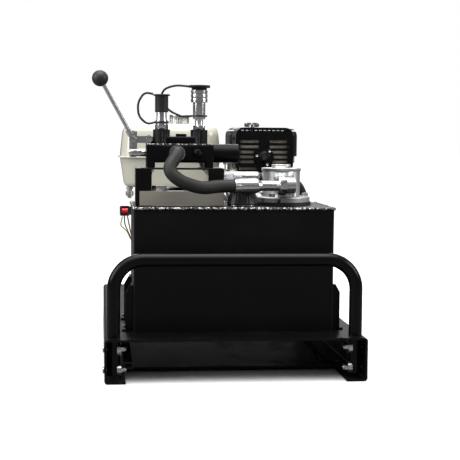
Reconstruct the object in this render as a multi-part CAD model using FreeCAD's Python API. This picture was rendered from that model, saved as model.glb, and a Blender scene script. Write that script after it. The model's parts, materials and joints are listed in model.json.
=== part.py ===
"""Petrol-engine hydraulic power unit on a bent-sheet skid.

Origin: the centre of the skid's footprint, on the floor.  +X is to the right when the
reservoir end is looked at, +Y runs from the reservoir to the engine, +Z is up.
All sizes are millimetres.
"""
import FreeCAD, Part
import math
import os

V = FreeCAD.Vector
os.makedirs("parts", exist_ok=True)

# ---------------------------------------------------------------- driving dimensions
BASE_W = 584.0          # skid width over the side walls
BASE_L = 980.0          # skid length
RAIL_H = 98.0           # height of the deck's top above the floor
SHEET = 5.0             # skid plate thickness
RAIL_FLANGE = 46.0      # bottom flange turned inwards
SKID_BEND = 8.0         # outside bend radius
SKID_HOLE_R = 5.5       # anchor holes in the bottom flanges
SKID_HOLE_INSET = 110.0 # anchor holes from the ends

PAN_W = 452.0           # belly pan
PAN_SHEET = 3.0
PAN_SETBACK = 127.0
PAN_EAR_L = 92.0

HANDLE_D = 30.0         # carry handle tube
HANDLE_WALL = 2.5
HANDLE_SETBACK = 45.0
HANDLE_TOP = 284.0      # top of the tube above the floor
HANDLE_BEND_R = 67.0    # centreline bend radius
HANDLE_FOOT = 12.0      # lower tube end above the floor
SADDLE_R = 16.0         # saddle washer
BOLT_ZS = (24.0, 71.0)  # handle bolts above the floor

TANK_W = 458.0          # reservoir
TANK_D = 252.0
TANK_H = 282.0
TANK_WALL = 5.0
TANK_X = 3.0            # reservoir centre off the skid's centre
TANK_SETBACK = 104.0    # reservoir's front behind the skid's front

FILTER_X = 131.0        # return filter on the reservoir
FILTER_IN = 154.0       # its axis behind the reservoir's front
FILTER_R = 45.0
FILTER_FLANGE_R = 69.0
FILTER_BODY_H = 61.0
FILTER_PORT_Z = 48.0    # port axis above the reservoir

FILLER_X = 32.0         # filler and breather
FILLER_IN = 102.0
FILLER_R = 38.0
FILLER_BORE_R = 25.0

STAND_GAP = 7.5         # valve stand clear of the filler
STAND_MARGIN = 25.0     # stand beyond the valve's ends
STAND_H = 88.0
STAND_IN = 86.0
STAND_D = 70.0
STAND_SHEET = 4.0
POST_W = 37.0
BAR_H = 33.0
BAR_T = 6.0
BAR_LEDGE = 40.0
BAR_BOLT_ACROSS = 30.0
BAR_BOLT_H = 12.0

SPOOL_R = 9.0           # control valve
SPOOL_CLEAR = 0.04
VALVE_Z = 122.0         # spool axis above the reservoir
VALVE_L = 156.0
VALVE_H = 44.0
VALVE_D = 58.0
BOSS_R = 20.0
BOSS_TOP = 177.0        # top of the work ports above the reservoir
BOSS_PITCH = 88.0
SPRING_CAP_L = 62.0
SPOOL_STROKE = 7.0

LEVER_OUT = 30.0        # lever pivot beyond the valve's end
LEVER_RISE = 32.0       # lever pivot above the spool axis
KNOB_R = 19.0
ROD_R = 4.5
ROD_DX = -77.0          # knob centre from the pivot
ROD_DZ = 140.0

HOSE_R = 15.0           # return hose
LINE_R = 12.0           # pressure hose
SUCTION_R = 17.0

CRANK_X = -80.0         # engine
SWITCH_OUT = 42.0       # engine switch beyond the block's side
LEAD_R = 1.6            # its leads
LEAD_PITCH = 5.0
RISER_H = 45.0
CRANK_H = 132.0         # crank axis above the engine's feet
ENGINE_SETBACK = 560.0  # mounting face behind the skid's front
BLOCK_W = 220.0
BLOCK_L = 195.0
BLOCK_H = 232.0
CYL_TILT = 25.0
SHAFT_R = 12.7
FAN_R = 122.0
FAN_L = 68.0

PUMP_W = 90.0           # gear pump
PUMP_H = 112.0
PUMP_L = 92.0
BELL_L = 98.0
GEAR_M = 3.0
GEAR_Z = 12
GEAR_W = 24.0

FUEL_W = 283.0          # fuel tank
FUEL_D = 205.0
FUEL_X = -110.5
FUEL_SETBACK = 622.0
FUEL_BOTTOM = 402.0
FUEL_RIM = 481.0
FUEL_TOP = 576.0
FUEL_TAPER = 20.0

MUFF_W = 154.0          # muffler
MUFF_H = 122.0
MUFF_D = 92.0
MUFF_X = 132.0
MUFF_TOP = 566.0
SLOT_H = 7.0
OUTLET_R = 25.0
MUFF_SETBACK = 560.0

AIR_W = 190.0           # air cleaner
AIR_D = 140.0
AIR_H = 96.0
AIR_X = 146.0
AIR_TOP = 566.0
AIR_SETBACK = 672.0

GAP = 0.3               # clearance between curved faces of different bodies
RUN = 0.05              # radial running clearance

# ---------------------------------------------------------------- places that follow
FRONT = -BASE_L / 2
DECK = RAIL_H
TANK_Y0 = FRONT + TANK_SETBACK
TANK_Y1 = TANK_Y0 + TANK_D
TANK_X0 = TANK_X - TANK_W / 2
TANK_X1 = TANK_X + TANK_W / 2
TANK_TOP = DECK + TANK_H
FILTER_Y = TANK_Y0 + FILTER_IN
FILLER_Y = TANK_Y0 + FILLER_IN
STAND_Y0 = TANK_Y0 + STAND_IN
STAND_TOP = TANK_TOP + STAND_H
VALVE_Y = STAND_Y0 + STAND_D / 2
SPOOL_Z = TANK_TOP + VALVE_Z
STAND_W = VALVE_L + 2 * STAND_MARGIN
STAND_X = FILLER_X - FILLER_R - STAND_GAP - STAND_W / 2
VALVE_X0 = STAND_X - VALVE_L / 2
VALVE_X1 = STAND_X + VALVE_L / 2
PORT_A_X = STAND_X + 2.0 - BOSS_PITCH / 2
PORT_B_X = STAND_X + 2.0 + BOSS_PITCH / 2
PORT_Z = TANK_TOP + BOSS_TOP
PIVOT = V(VALVE_X0 - LEVER_OUT, VALVE_Y, SPOOL_Z + LEVER_RISE)
ENGINE_Y = FRONT + ENGINE_SETBACK
FOOT_Z = DECK + RISER_H
CRANK_Z = FOOT_Z + CRANK_H
PUMP_Y1 = ENGINE_Y - BELL_L
PUMP_Y0 = PUMP_Y1 - PUMP_L
GEAR_PITCH = GEAR_M * GEAR_Z
HANDLE_Y = BASE_L / 2 - HANDLE_SETBACK
PAN_EAR_Y = BASE_L / 2 - PAN_SETBACK - PAN_EAR_L / 2
PAN_BOLT_X = BASE_W / 2 - RAIL_FLANGE + 12
HANDLE_X = BASE_W / 2 - SHEET - HANDLE_D / 2
RETURN_X = STAND_X - 8
INLET_X = STAND_X + 52
SUCTION_X = TANK_X0 + 40
SUCTION_Z = DECK + 80
STUD_X = AIR_X - 26
CARB_X = CRANK_X + 150

X, Y, Z = V(1, 0, 0), V(0, 1, 0), V(0, 0, 1)


# ---------------------------------------------------------------- helpers
def box(x0, x1, y0, y1, z0, z1):
    return Part.makeBox(x1 - x0, y1 - y0, z1 - z0, V(x0, y0, z0))


def cyl(centre, axis, radius, length):
    return Part.makeCylinder(radius, length, centre, axis)


def cone(centre, axis, r0, r1, length):
    return Part.makeCone(r0, r1, length, centre, axis)


def ring(centre, axis, outer, inner, length):
    return cyl(centre, axis, outer, length).cut(cyl(centre - axis, axis, inner, length + 2))


def hexagon(centre, axis, across, length):
    """A hexagonal prism, across its flats, standing on its centre."""
    points = [V(across / math.sqrt(3) * math.cos(math.radians(60 * k)),
                across / math.sqrt(3) * math.sin(math.radians(60 * k)), 0) for k in range(7)]
    prism = Part.Face(Part.makePolygon(points)).extrude(V(0, 0, length))
    prism.Placement = FreeCAD.Placement(centre, FreeCAD.Rotation(Z, axis))
    return prism


def plate(points, axis, thickness):
    """A flat plate from its corner points, thickened along an axis."""
    return Part.Face(Part.makePolygon(points + [points[0]])).extrude(axis * thickness)


def fuse(*shapes):
    solid = shapes[0]
    for shape in shapes[1:]:
        solid = solid.fuse(shape)
    return solid.removeSplitter()


def edges_along(solid, axis):
    """The straight edges that run along an axis."""
    found = []
    for edge in solid.Edges:
        if isinstance(edge.Curve, Part.Line):
            if abs(edge.tangentAt(edge.FirstParameter).dot(axis)) > 0.999:
                found.append(edge)
    return found


def round_box(x0, x1, y0, y1, z0, z1, radius, axis=Z):
    """A box whose edges along one axis are rounded."""
    solid = box(x0, x1, y0, y1, z0, z1)
    return solid.makeFillet(radius, edges_along(solid, axis))


def soft_box(x0, x1, y0, y1, z0, z1, radius, edge):
    """A box with rounded upright edges and softened top and bottom edges."""
    solid = round_box(x0, x1, y0, y1, z0, z1, radius)
    rims = [e for e in solid.Edges if abs(e.BoundBox.ZLength) < 0.01]
    return solid.makeFillet(edge, rims)


def turned(shape, angle, centre, axis):
    copy = shape.copy()
    copy.rotate(centre, axis, angle)
    return copy


def route(points):
    """Straight runs joined by tangent arcs, each as large as its two runs allow."""
    edges = []
    start = points[0]
    for before, corner, after in zip(points, points[1:], points[2:]):
        a = (before - corner).normalize()
        b = (after - corner).normalize()
        shorter = min((before - corner).Length, (after - corner).Length)
        trim = 0.45 * shorter
        half = a.getAngle(b) / 2
        radius = trim * math.tan(half)
        p, q = corner + a * trim, corner + b * trim
        middle = corner + (a + b).normalize() * (radius / math.sin(half) - radius)
        edges.append(Part.LineSegment(start, p).toShape())
        edges.append(Part.Arc(p, middle, q).toShape())
        start = q
    edges.append(Part.LineSegment(start, points[-1]).toShape())
    return Part.Wire(edges)


def tube(points, radius, bore=0.0):
    """A round tube or hose along a route."""
    path = route(points) if len(points) > 2 else Part.Wire([Part.LineSegment(*points).toShape()])
    start = points[0]
    axis = (points[1] - points[0]).normalize()

    def sweep(r):
        circle = Part.Wire([Part.makeCircle(r, start, axis)])
        return path.makePipeShell([circle], True, False)

    solid = sweep(radius)
    if bore:
        solid = solid.cut(sweep(bore))
    return solid


def save(name, *shapes):
    """Writes one node, with each separate piece as its own solid."""
    solids = []
    for shape in shapes:
        solids += shape.Solids
    assert solids, name
    Part.makeCompound(solids).exportStep("parts/" + name + ".step")


def bolt(point, axis, radius, length, head_across, head_height, nut_at=0.0):
    """A hex bolt whose shank runs from its head's underside along an axis."""
    screw = fuse(cyl(point, axis, radius, length), hexagon(point - axis * head_height, axis,
                                                           head_across, head_height))
    if not nut_at:
        return [screw]
    nut = hexagon(point + axis * nut_at, axis, head_across, radius * 1.6)
    return [screw, nut.cut(cyl(point, axis, radius, length + 1))]


def cap_screw(point, axis, radius, length):
    """A socket cap screw, its head standing on the point and its shank going back."""
    head = cyl(point, axis, radius * 1.9, radius * 2)
    socket = hexagon(point + axis * radius, axis, radius * 1.6, radius + 1)
    return fuse(head.cut(socket), cyl(point - axis * length, axis, radius, length))


# ---------------------------------------------------------------- skid and handles
def skid():
    outer = round_box(-BASE_W / 2, BASE_W / 2, -BASE_L / 2, BASE_L / 2, 0, RAIL_H, SKID_BEND, Y)
    inner = round_box(-BASE_W / 2 + SHEET, BASE_W / 2 - SHEET, -BASE_L / 2 - 1, BASE_L / 2 + 1,
                      SHEET, RAIL_H - SHEET, SKID_BEND - SHEET, Y)
    body = outer.cut(inner)
    opening = BASE_W / 2 - RAIL_FLANGE
    cuts = [box(-opening, opening, -BASE_L, BASE_L, -1, SHEET + 1)]
    for side in (-1, 1):
        cuts.append(cyl(V(side * HANDLE_X, -HANDLE_Y, RAIL_H / 2), Z, HANDLE_D / 2 + 0.5, RAIL_H))
        for z in BOLT_ZS:
            cuts.append(cyl(V(side * (BASE_W / 2 - SHEET - 1), -HANDLE_Y, z), X * side, 5, 8))
        for end in (-1, 1):
            hole_y = end * (BASE_L / 2 - SKID_HOLE_INSET)
            cuts.append(cyl(V(side * (BASE_W / 2 - 22), hole_y, -1), Z, SKID_HOLE_R, SHEET + 2))
            cuts.append(cyl(V(side * PAN_BOLT_X, end * PAN_EAR_Y, -1), Z, 4.1, SHEET + 2))
            notch_x = side * (BASE_W / 2 - RAIL_FLANGE - 14)
            cuts.append(box(notch_x - 3, notch_x + 3, end * BASE_L / 2 - 7, end * BASE_L / 2 + 7,
                            RAIL_H - SHEET - 1, RAIL_H + 1))
    for cut in cuts:
        body = body.cut(cut)
    save("skid_tray", body)


def belly_pan():
    half = BASE_L / 2 - PAN_SETBACK
    z0, z1 = SHEET, SHEET + PAN_SHEET
    inner_edge = BASE_W / 2 - RAIL_FLANGE
    pan = box(-PAN_W / 2, PAN_W / 2, -half, half, z0, z1)
    for end in (-1, 1):
        lip_y = end * (half - PAN_SHEET / 2)
        pan = pan.fuse(box(-PAN_W / 2, PAN_W / 2, lip_y - PAN_SHEET / 2, lip_y + PAN_SHEET / 2, z0, z1 + 5))
        for side in (-1, 1):
            ear_y = end * PAN_EAR_Y
            ear_end = inner_edge + 25
            low, high = sorted((side * (PAN_W / 2 - 5), side * ear_end))
            ear = box(low, high, ear_y - PAN_EAR_L / 2, ear_y + PAN_EAR_L / 2, z0, z1)
            slot_x = side * (PAN_W / 2 + (inner_edge - PAN_W / 2) / 2)
            slot = box(slot_x - 8, slot_x + 8, ear_y - 22, ear_y + 22, z0 - 1, z1 + 1)
            pan = pan.fuse(ear).cut(slot)
            pan = pan.cut(cyl(V(side * PAN_BOLT_X, ear_y, 0), Z, 4.1, 20))
    save("belly_pan", pan.removeSplitter())


def handle():
    y = -HANDLE_Y
    top = HANDLE_TOP - HANDLE_D / 2
    corner = HANDLE_BEND_R
    left, right = -HANDLE_X, HANDLE_X
    s = corner * math.sqrt(0.5)
    edges = [
        Part.LineSegment(V(left, y, HANDLE_FOOT), V(left, y, top - corner)),
        Part.Arc(V(left, y, top - corner), V(left + corner - s, y, top - corner + s),
                 V(left + corner, y, top)),
        Part.LineSegment(V(left + corner, y, top), V(right - corner, y, top)),
        Part.Arc(V(right - corner, y, top), V(right - corner + s, y, top - corner + s),
                 V(right, y, top - corner)),
        Part.LineSegment(V(right, y, top - corner), V(right, y, HANDLE_FOOT)),
    ]
    path = Part.Wire([e.toShape() for e in edges])

    def sweep(radius):
        ring_wire = Part.Wire([Part.makeCircle(radius, V(left, y, HANDLE_FOOT), Z)])
        return path.makePipeShell([ring_wire], True, False)

    hoop = sweep(HANDLE_D / 2).cut(sweep(HANDLE_D / 2 - HANDLE_WALL))
    for z in BOLT_ZS:
        hoop = hoop.cut(cyl(V(-BASE_W, y, z), X, 5, 2 * BASE_W))
    save("carry_handle", hoop)


def handle_fixings():
    bolts, saddles = [], []
    for side in (-1, 1):
        for z in BOLT_ZS:
            wall = V(side * BASE_W / 2, -HANDLE_Y, z)
            inward = X * -side
            saddle = cyl(wall + inward * (SHEET + HANDLE_D - 7), inward, SADDLE_R, 9)
            saddle = saddle.cut(cyl(V(side * HANDLE_X, -HANDLE_Y, 0), Z, HANDLE_D / 2 + 0.02, 200))
            saddle = saddle.cut(cyl(wall, inward, 5.02, 80))
            saddles += [max(saddle.Solids, key=lambda s: s.Volume)]
            head_x = (wall - inward * 4).x
            head = cyl(wall - inward * 4, inward, 7.5, 4)
            head = head.makeFillet(2.5,
                                   [e for e in head.Edges if e.Closed and abs(e.CenterOfMass.x - head_x) < 0.1])
            nut_face = wall + inward * (SHEET + HANDLE_D + 2)
            bolts.append(fuse(head, cyl(wall, inward, 4.9, SHEET + HANDLE_D + 5)))
            nut = hexagon(nut_face, inward, 14, 8).cut(cyl(wall, inward, 4.9, SHEET + HANDLE_D + 5))
            dome_x = (nut_face + inward * 12).x
            dome = cyl(nut_face + inward * 8, inward, 6.5, 4)
            dome = dome.makeFillet(3.5,
                                   [e for e in dome.Edges if e.Closed and abs(e.CenterOfMass.x - dome_x) < 0.1])
            bolts.append(fuse(nut, dome))
        for end in (-1, 1):
            pan_bolt = V(side * PAN_BOLT_X, end * PAN_EAR_Y, SHEET + PAN_SHEET)
            bolts.append(fuse(hexagon(pan_bolt, Z, 13, 5.3), cyl(pan_bolt - Z * (PAN_SHEET + 3), Z, 4,
                                                                 PAN_SHEET + 3)))
    save("skid_bolts", *(bolts + saddles))


# ---------------------------------------------------------------- reservoir
def reservoir():
    shell = round_box(TANK_X0, TANK_X1, TANK_Y0, TANK_Y1, DECK, TANK_TOP, 4)
    shell = shell.cut(box(TANK_X0 + TANK_WALL, TANK_X1 - TANK_WALL, TANK_Y0 + TANK_WALL,
                          TANK_Y1 - TANK_WALL, DECK + TANK_WALL, TANK_TOP - TANK_WALL))
    shell = shell.cut(cyl(V(FILTER_X, FILTER_Y, TANK_TOP - 10), Z, FILTER_R - 4, 20))
    shell = shell.cut(cyl(V(FILLER_X, FILLER_Y, TANK_TOP - 10), Z, FILLER_BORE_R, 20))
    shell = shell.cut(cyl(V(SUCTION_X, TANK_Y1 - 10, SUCTION_Z), Y, 12, 20))
    for x, y, across in plug_places():
        shell = shell.cut(cyl(V(x, y, TANK_TOP - 10), Z, across * 0.36, 20))
    save("reservoir_shell", shell)
    plugs = []
    for x, y, across in plug_places():
        top = V(x, y, TANK_TOP)
        plugs.append(fuse(hexagon(top, Z, across, across * 0.45 + 12),
                          cyl(top - Z * 12, Z, across * 0.36, 12)))
    return plugs


def plug_places():
    """The reservoir's top ports: place and spanner size."""
    return [(STAND_X - 44, TANK_Y1 - 42, 12.0), (STAND_X + 38, TANK_Y1 - 46, 30.0)]


def tank_brackets():
    parts, screws = [], []
    t = 5.0
    for out, wall in ((1, TANK_X1), (-1, TANK_X0)):
        for y0 in (TANK_Y0 + 12, TANK_Y1 - 72):
            outline = [V(wall, y0, DECK), V(wall, y0 + 60, DECK), V(wall, y0 + 60, DECK + 96),
                       V(wall, y0 + 48, DECK + 106), V(wall, y0 + 12, DECK + 106), V(wall, y0, DECK + 96)]
            low, high = sorted((wall, wall + out * 26))
            web = [V(wall, y0, DECK), V(wall + out * 18, y0, DECK), V(wall + out * 18, y0, DECK + 88),
                   V(wall + out * 8, y0, DECK + 106), V(wall, y0, DECK + 106)]
            angle = fuse(plate(outline, X * out, t), box(low, high, y0, y0 + 60, DECK, DECK + t),
                         plate(web, Y, t))
            angle = angle.cut(cyl(V(wall - out, y0 + 32, DECK + 64), X * out, 5, 40))
            parts.append(angle)
            screws += bolt(V(wall + out * t, y0 + 32, DECK + 64), X * -out, 4.9, t, 15, 7)
            screws += bolt(V(wall + out * 18, y0 + 34, DECK + t), -Z, 3.5, t, 10, 5)
    cutter = Part.makeCompound(screws)
    return [p.cut(cutter) for p in parts], screws


def filler():
    base = V(FILLER_X, FILLER_Y, TANK_TOP)
    collar = fuse(cyl(base, Z, FILLER_R - 2, 5), cyl(base, Z, FILLER_BORE_R + 3, 16))
    collar = collar.cut(cyl(base - Z, Z, FILLER_BORE_R - 3, 40))
    basket = ring(base - Z * 90, Z, FILLER_BORE_R - 1, FILLER_BORE_R - 3, 90)
    basket = basket.fuse(cyl(base - Z * 90, Z, FILLER_BORE_R - 1, 2))
    save("filler_neck", fuse(collar, basket))
    low = base + Z * (5 + GAP)
    body = cone(low, Z, FILLER_R, FILLER_R - 14, 44)
    for k in range(24):
        groove = box(FILLER_R - 1.6, FILLER_R + 6, -1.2, 1.2, -2, 40)
        groove.rotate(V(FILLER_R - 1.6, 0, 0), Y, -17.6)
        groove.rotate(V(0, 0, 0), Z, 15 * k)
        groove.translate(low + Z * 3)
        body = body.cut(groove)
    body = body.cut(cyl(low - Z, Z, FILLER_BORE_R + 3 + GAP, 11 + 1 + 2 * GAP))
    save("filler_cap", body)


def filter_unit():
    base = V(FILTER_X, FILTER_Y, TANK_TOP)
    gasket = ring(base, Z, FILTER_FLANGE_R + 3, FILTER_R - 4, 8)
    flange = cyl(base + Z * 8, Z, FILTER_FLANGE_R, 12)
    flange = flange.makeFillet(3, [flange.Edges[0]])
    body = cyl(base + Z * 8, Z, FILTER_R, 12 + FILTER_BODY_H)
    port = base + Z * FILTER_PORT_Z
    boss = cyl(port, -Y, 22, FILTER_R + 12)
    for angle in (60, 180, 300):
        rib = box(0, FILTER_R + 11, -3, 3, 19, 29)
        rib.rotate(V(0, 0, 0), Z, angle)
        rib.translate(base)
        body = body.fuse(rib)
    head = fuse(flange, body, boss)
    screws = []
    for angle in (0, 120, 240):
        direction = V(math.cos(math.radians(angle)), math.sin(math.radians(angle)), 0)
        place = base + direction * (FILTER_FLANGE_R - 11) + Z * 20
        screws.append(cap_screw(place, Z, 4, 20))
        head = head.cut(cyl(place - Z * 30, Z, 4.02, 60))
        gasket = gasket.cut(cyl(place - Z * 30, Z, 4.02, 60))
    bore_top = base + Z * (20 + FILTER_BODY_H)
    head = head.cut(cyl(base - Z, Z, FILTER_R - 6, 20 + FILTER_BODY_H + 2))
    head = head.cut(cyl(port, -Y, 13, FILTER_R + 13))
    save("filter_head", head)
    save("filter_gasket", gasket)
    lid = cyl(bore_top, Z, FILTER_R + 2, 7)
    lid = lid.makeFillet(1.5, [e for e in lid.Edges if e.Closed and e.CenterOfMass.z > bore_top.z + 6])
    knob = cyl(bore_top + Z * 7, Z, 23, 8)
    knob = knob.makeFillet(1.5, [e for e in knob.Edges if e.Closed and e.CenterOfMass.z > bore_top.z + 14])
    plug = cyl(bore_top - Z * 12, Z, FILTER_R - 6 - 2 * RUN, 12)
    save("filter_lid", fuse(lid, knob, plug))
    element = ring(base - Z * 70, Z, 33, 20, 70 + 20 + FILTER_BODY_H - 12)
    save("filter_element", element)
    bowl = ring(base - Z * 85, Z, FILTER_R - 5, FILTER_R - 7, 85)
    bowl = bowl.fuse(cyl(base - Z * 85, Z, FILTER_R - 5, 2))
    save("filter_bowl", bowl.removeSplitter())
    return screws


# ---------------------------------------------------------------- control valve
def valve_stand():
    x0, x1 = STAND_X - STAND_W / 2, STAND_X + STAND_W / 2
    y0, y1 = STAND_Y0, STAND_Y0 + STAND_D
    top = box(x0 + 12, x1 - 4, y0, y1, STAND_TOP - STAND_SHEET, STAND_TOP)
    frame = top
    for side, edge in ((1, x0), (-1, x1)):
        outer, inner = edge, edge + side * POST_W
        low, high = min(outer, inner), max(outer, inner)
        frame = frame.fuse(box(low, high, y0, y0 + STAND_SHEET, TANK_TOP, STAND_TOP - 1))
        low, high = min(outer, outer + side * STAND_SHEET), max(outer, outer + side * STAND_SHEET)
        frame = frame.fuse(box(low, high, y0, y1, TANK_TOP, STAND_TOP - 1))
        low, high = min(outer, outer + side * 24), max(outer, outer + side * 24)
        frame = frame.fuse(box(low, high, y0, y1, TANK_TOP, TANK_TOP + STAND_SHEET))
        frame = frame.fuse(box(low, high, y0, y1, STAND_TOP - STAND_SHEET - 1, STAND_TOP - 1))
    screws = []
    bar_top = TANK_TOP + 1 + BAR_H
    bar = box(x0 + 9, x1 - 1, y0 - BAR_T, y0, TANK_TOP + 1, bar_top)
    bar = bar.fuse(box(x0 + POST_W + 1, x1 - POST_W - 1, y0 - 1, y0 + BAR_LEDGE, bar_top - BAR_T, bar_top))
    for x in (x0 + 22, x1 - 22):
        screws.append(cap_screw(V(x, y0 + STAND_SHEET, TANK_TOP + 1 + BAR_H / 2), Y, 3,
                                STAND_SHEET + BAR_T - 1.5))
    for x in (x0 + POST_W + 19, x1 - POST_W - 39):
        screws += bolt(V(x, y0 + BAR_LEDGE / 2, bar_top), -Z, 8, BAR_T, BAR_BOLT_ACROSS, BAR_BOLT_H)
    for side, edge in ((1, x0), (-1, x1)):
        for y in (y0 + 20, y1 - 16):
            screws += bolt(V(edge + side * 15, y, TANK_TOP + STAND_SHEET), -Z, 3.5, STAND_SHEET, 11, 5)
    lugs = []
    for x in (VALVE_X0 + 10, VALVE_X1 - 10):
        lugs.append(V(x, VALVE_Y - VALVE_D / 2 + 11, STAND_TOP))
        lugs.append(V(x, VALVE_Y + VALVE_D / 2 - 11, STAND_TOP))
    valve_bolts = []
    for place in lugs:
        valve_bolts += bolt(place + Z * 20, -Z, 4, 36, 13, 6, 20 + STAND_SHEET)
    holes = Part.makeCompound([cyl(p + Z * 21, -Z, 4.02, 60) for p in lugs])
    fixing = Part.makeCompound(screws)
    save("valve_stand", frame.removeSplitter().cut(holes).cut(fixing))
    save("stand_bar", bar.removeSplitter().cut(fixing))
    return screws + valve_bolts, holes, Part.makeCompound(valve_bolts)


def valve_body(holes, bolts):
    y0, y1 = VALVE_Y - VALVE_D / 2, VALVE_Y + VALVE_D / 2
    z0, z1 = SPOOL_Z - VALVE_H / 2, SPOOL_Z + VALVE_H / 2
    core = round_box(VALVE_X0, VALVE_X1, y0, y1, z0, z1, 6, X)
    for x in (VALVE_X0, VALVE_X1 - 20):
        core = core.fuse(round_box(x, x + 20, y0, y1, STAND_TOP, SPOOL_Z - 5, 5))
    core = core.fuse(round_box(PORT_A_X, PORT_B_X, VALVE_Y - 17, VALVE_Y + 17, z1 - 2, z1 + 17, 5, X))
    for x in (PORT_A_X, PORT_B_X):
        core = core.fuse(cyl(V(x, VALVE_Y, z1 - 4), Z, BOSS_R, PORT_Z - z1 + 4))
    core = core.fuse(cyl(V(RETURN_X, y0 + 4, SPOOL_Z), -Y, 18, 12))
    core = core.fuse(cyl(V(INLET_X, y1 - 4, SPOOL_Z - 4), Y, 16, 12))
    ear_x = PORT_A_X - BOSS_R + 4
    core = core.fuse(box(ear_x - 20, ear_x, VALVE_Y - 6, VALVE_Y + 6, z1 - 2, SPOOL_Z + LEVER_RISE + 6))
    core = core.removeSplitter()
    core = core.cut(cyl(V(VALVE_X0 - 1, VALVE_Y, SPOOL_Z), X, SPOOL_R + SPOOL_CLEAR, VALVE_L + 2))
    for x in (PORT_A_X, PORT_B_X):
        core = core.cut(cyl(V(x, VALVE_Y, SPOOL_Z), Z, 8, PORT_Z))
    core = core.cut(cyl(V(RETURN_X, y0 - 9, SPOOL_Z), Y, 9, VALVE_D / 2 + 9))
    core = core.cut(cyl(V(INLET_X, VALVE_Y, SPOOL_Z - 4), Y, 8, 60))
    core = core.cut(cyl(V(ear_x - 14, VALVE_Y - 20, SPOOL_Z + LEVER_RISE), Y, 4.02, 40))
    save("valve_body", core.cut(holes).cut(bolts))
    plug_z = z1 + 17
    plugs = [fuse(hexagon(V(STAND_X + 4, VALVE_Y, plug_z), Z, 22, 6), cyl(V(STAND_X + 4, VALVE_Y, plug_z - 4),
                                                                          Z, 7, 4))]
    plugs.append(fuse(hexagon(V(STAND_X + 40, y0, SPOOL_Z), -Y, 19, 6),
                      cyl(V(STAND_X + 40, y0 - 6, SPOOL_Z), -Y, 6, 6)))
    return ear_x, [p.cut(core) for p in plugs]


def spool_and_cap():
    start = PIVOT.x + 13.5
    end = VALVE_X1 + SPRING_CAP_L - 20
    axis = V(start, VALVE_Y, SPOOL_Z)
    spool = cyl(axis, X, SPOOL_R, end - start)
    spool = spool.makeChamfer(1, [e for e in spool.Edges if e.Closed])
    for x in (VALVE_X0 + 24, STAND_X - 8, VALVE_X1 - 40):
        spool = spool.cut(ring(V(x, VALVE_Y, SPOOL_Z), X, SPOOL_R + 1, SPOOL_R - 3, 16))
    pin_x = PIVOT.x
    fork = round_box(pin_x - 10, pin_x + 19, VALVE_Y - 11, VALVE_Y + 11, SPOOL_Z - 8, SPOOL_Z + 8, 5, Y)
    fork = fork.cut(box(pin_x - 20, pin_x + 12.5, VALVE_Y - 5.5, VALVE_Y + 5.5, SPOOL_Z - 20, SPOOL_Z + 20))
    pin = cyl(V(pin_x, VALVE_Y - 13, SPOOL_Z), Y, 4, 26)
    save("valve_spool", fuse(spool, fork, pin))
    cap = cyl(V(VALVE_X1, VALVE_Y, SPOOL_Z), X, VALVE_H / 2, SPRING_CAP_L)
    cap = cap.makeFillet(3, [e for e in cap.Edges if e.Closed and e.CenterOfMass.x > VALVE_X1 + 5])
    cap = cap.cut(cyl(V(VALVE_X1 - 1, VALVE_Y, SPOOL_Z), X, 17, SPRING_CAP_L - 5))
    save("spring_cap", cap)
    spring = ring(V(VALVE_X1 + 2, VALVE_Y, SPOOL_Z), X, 15, 11, 34)
    save("centring_spring", spring)


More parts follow.
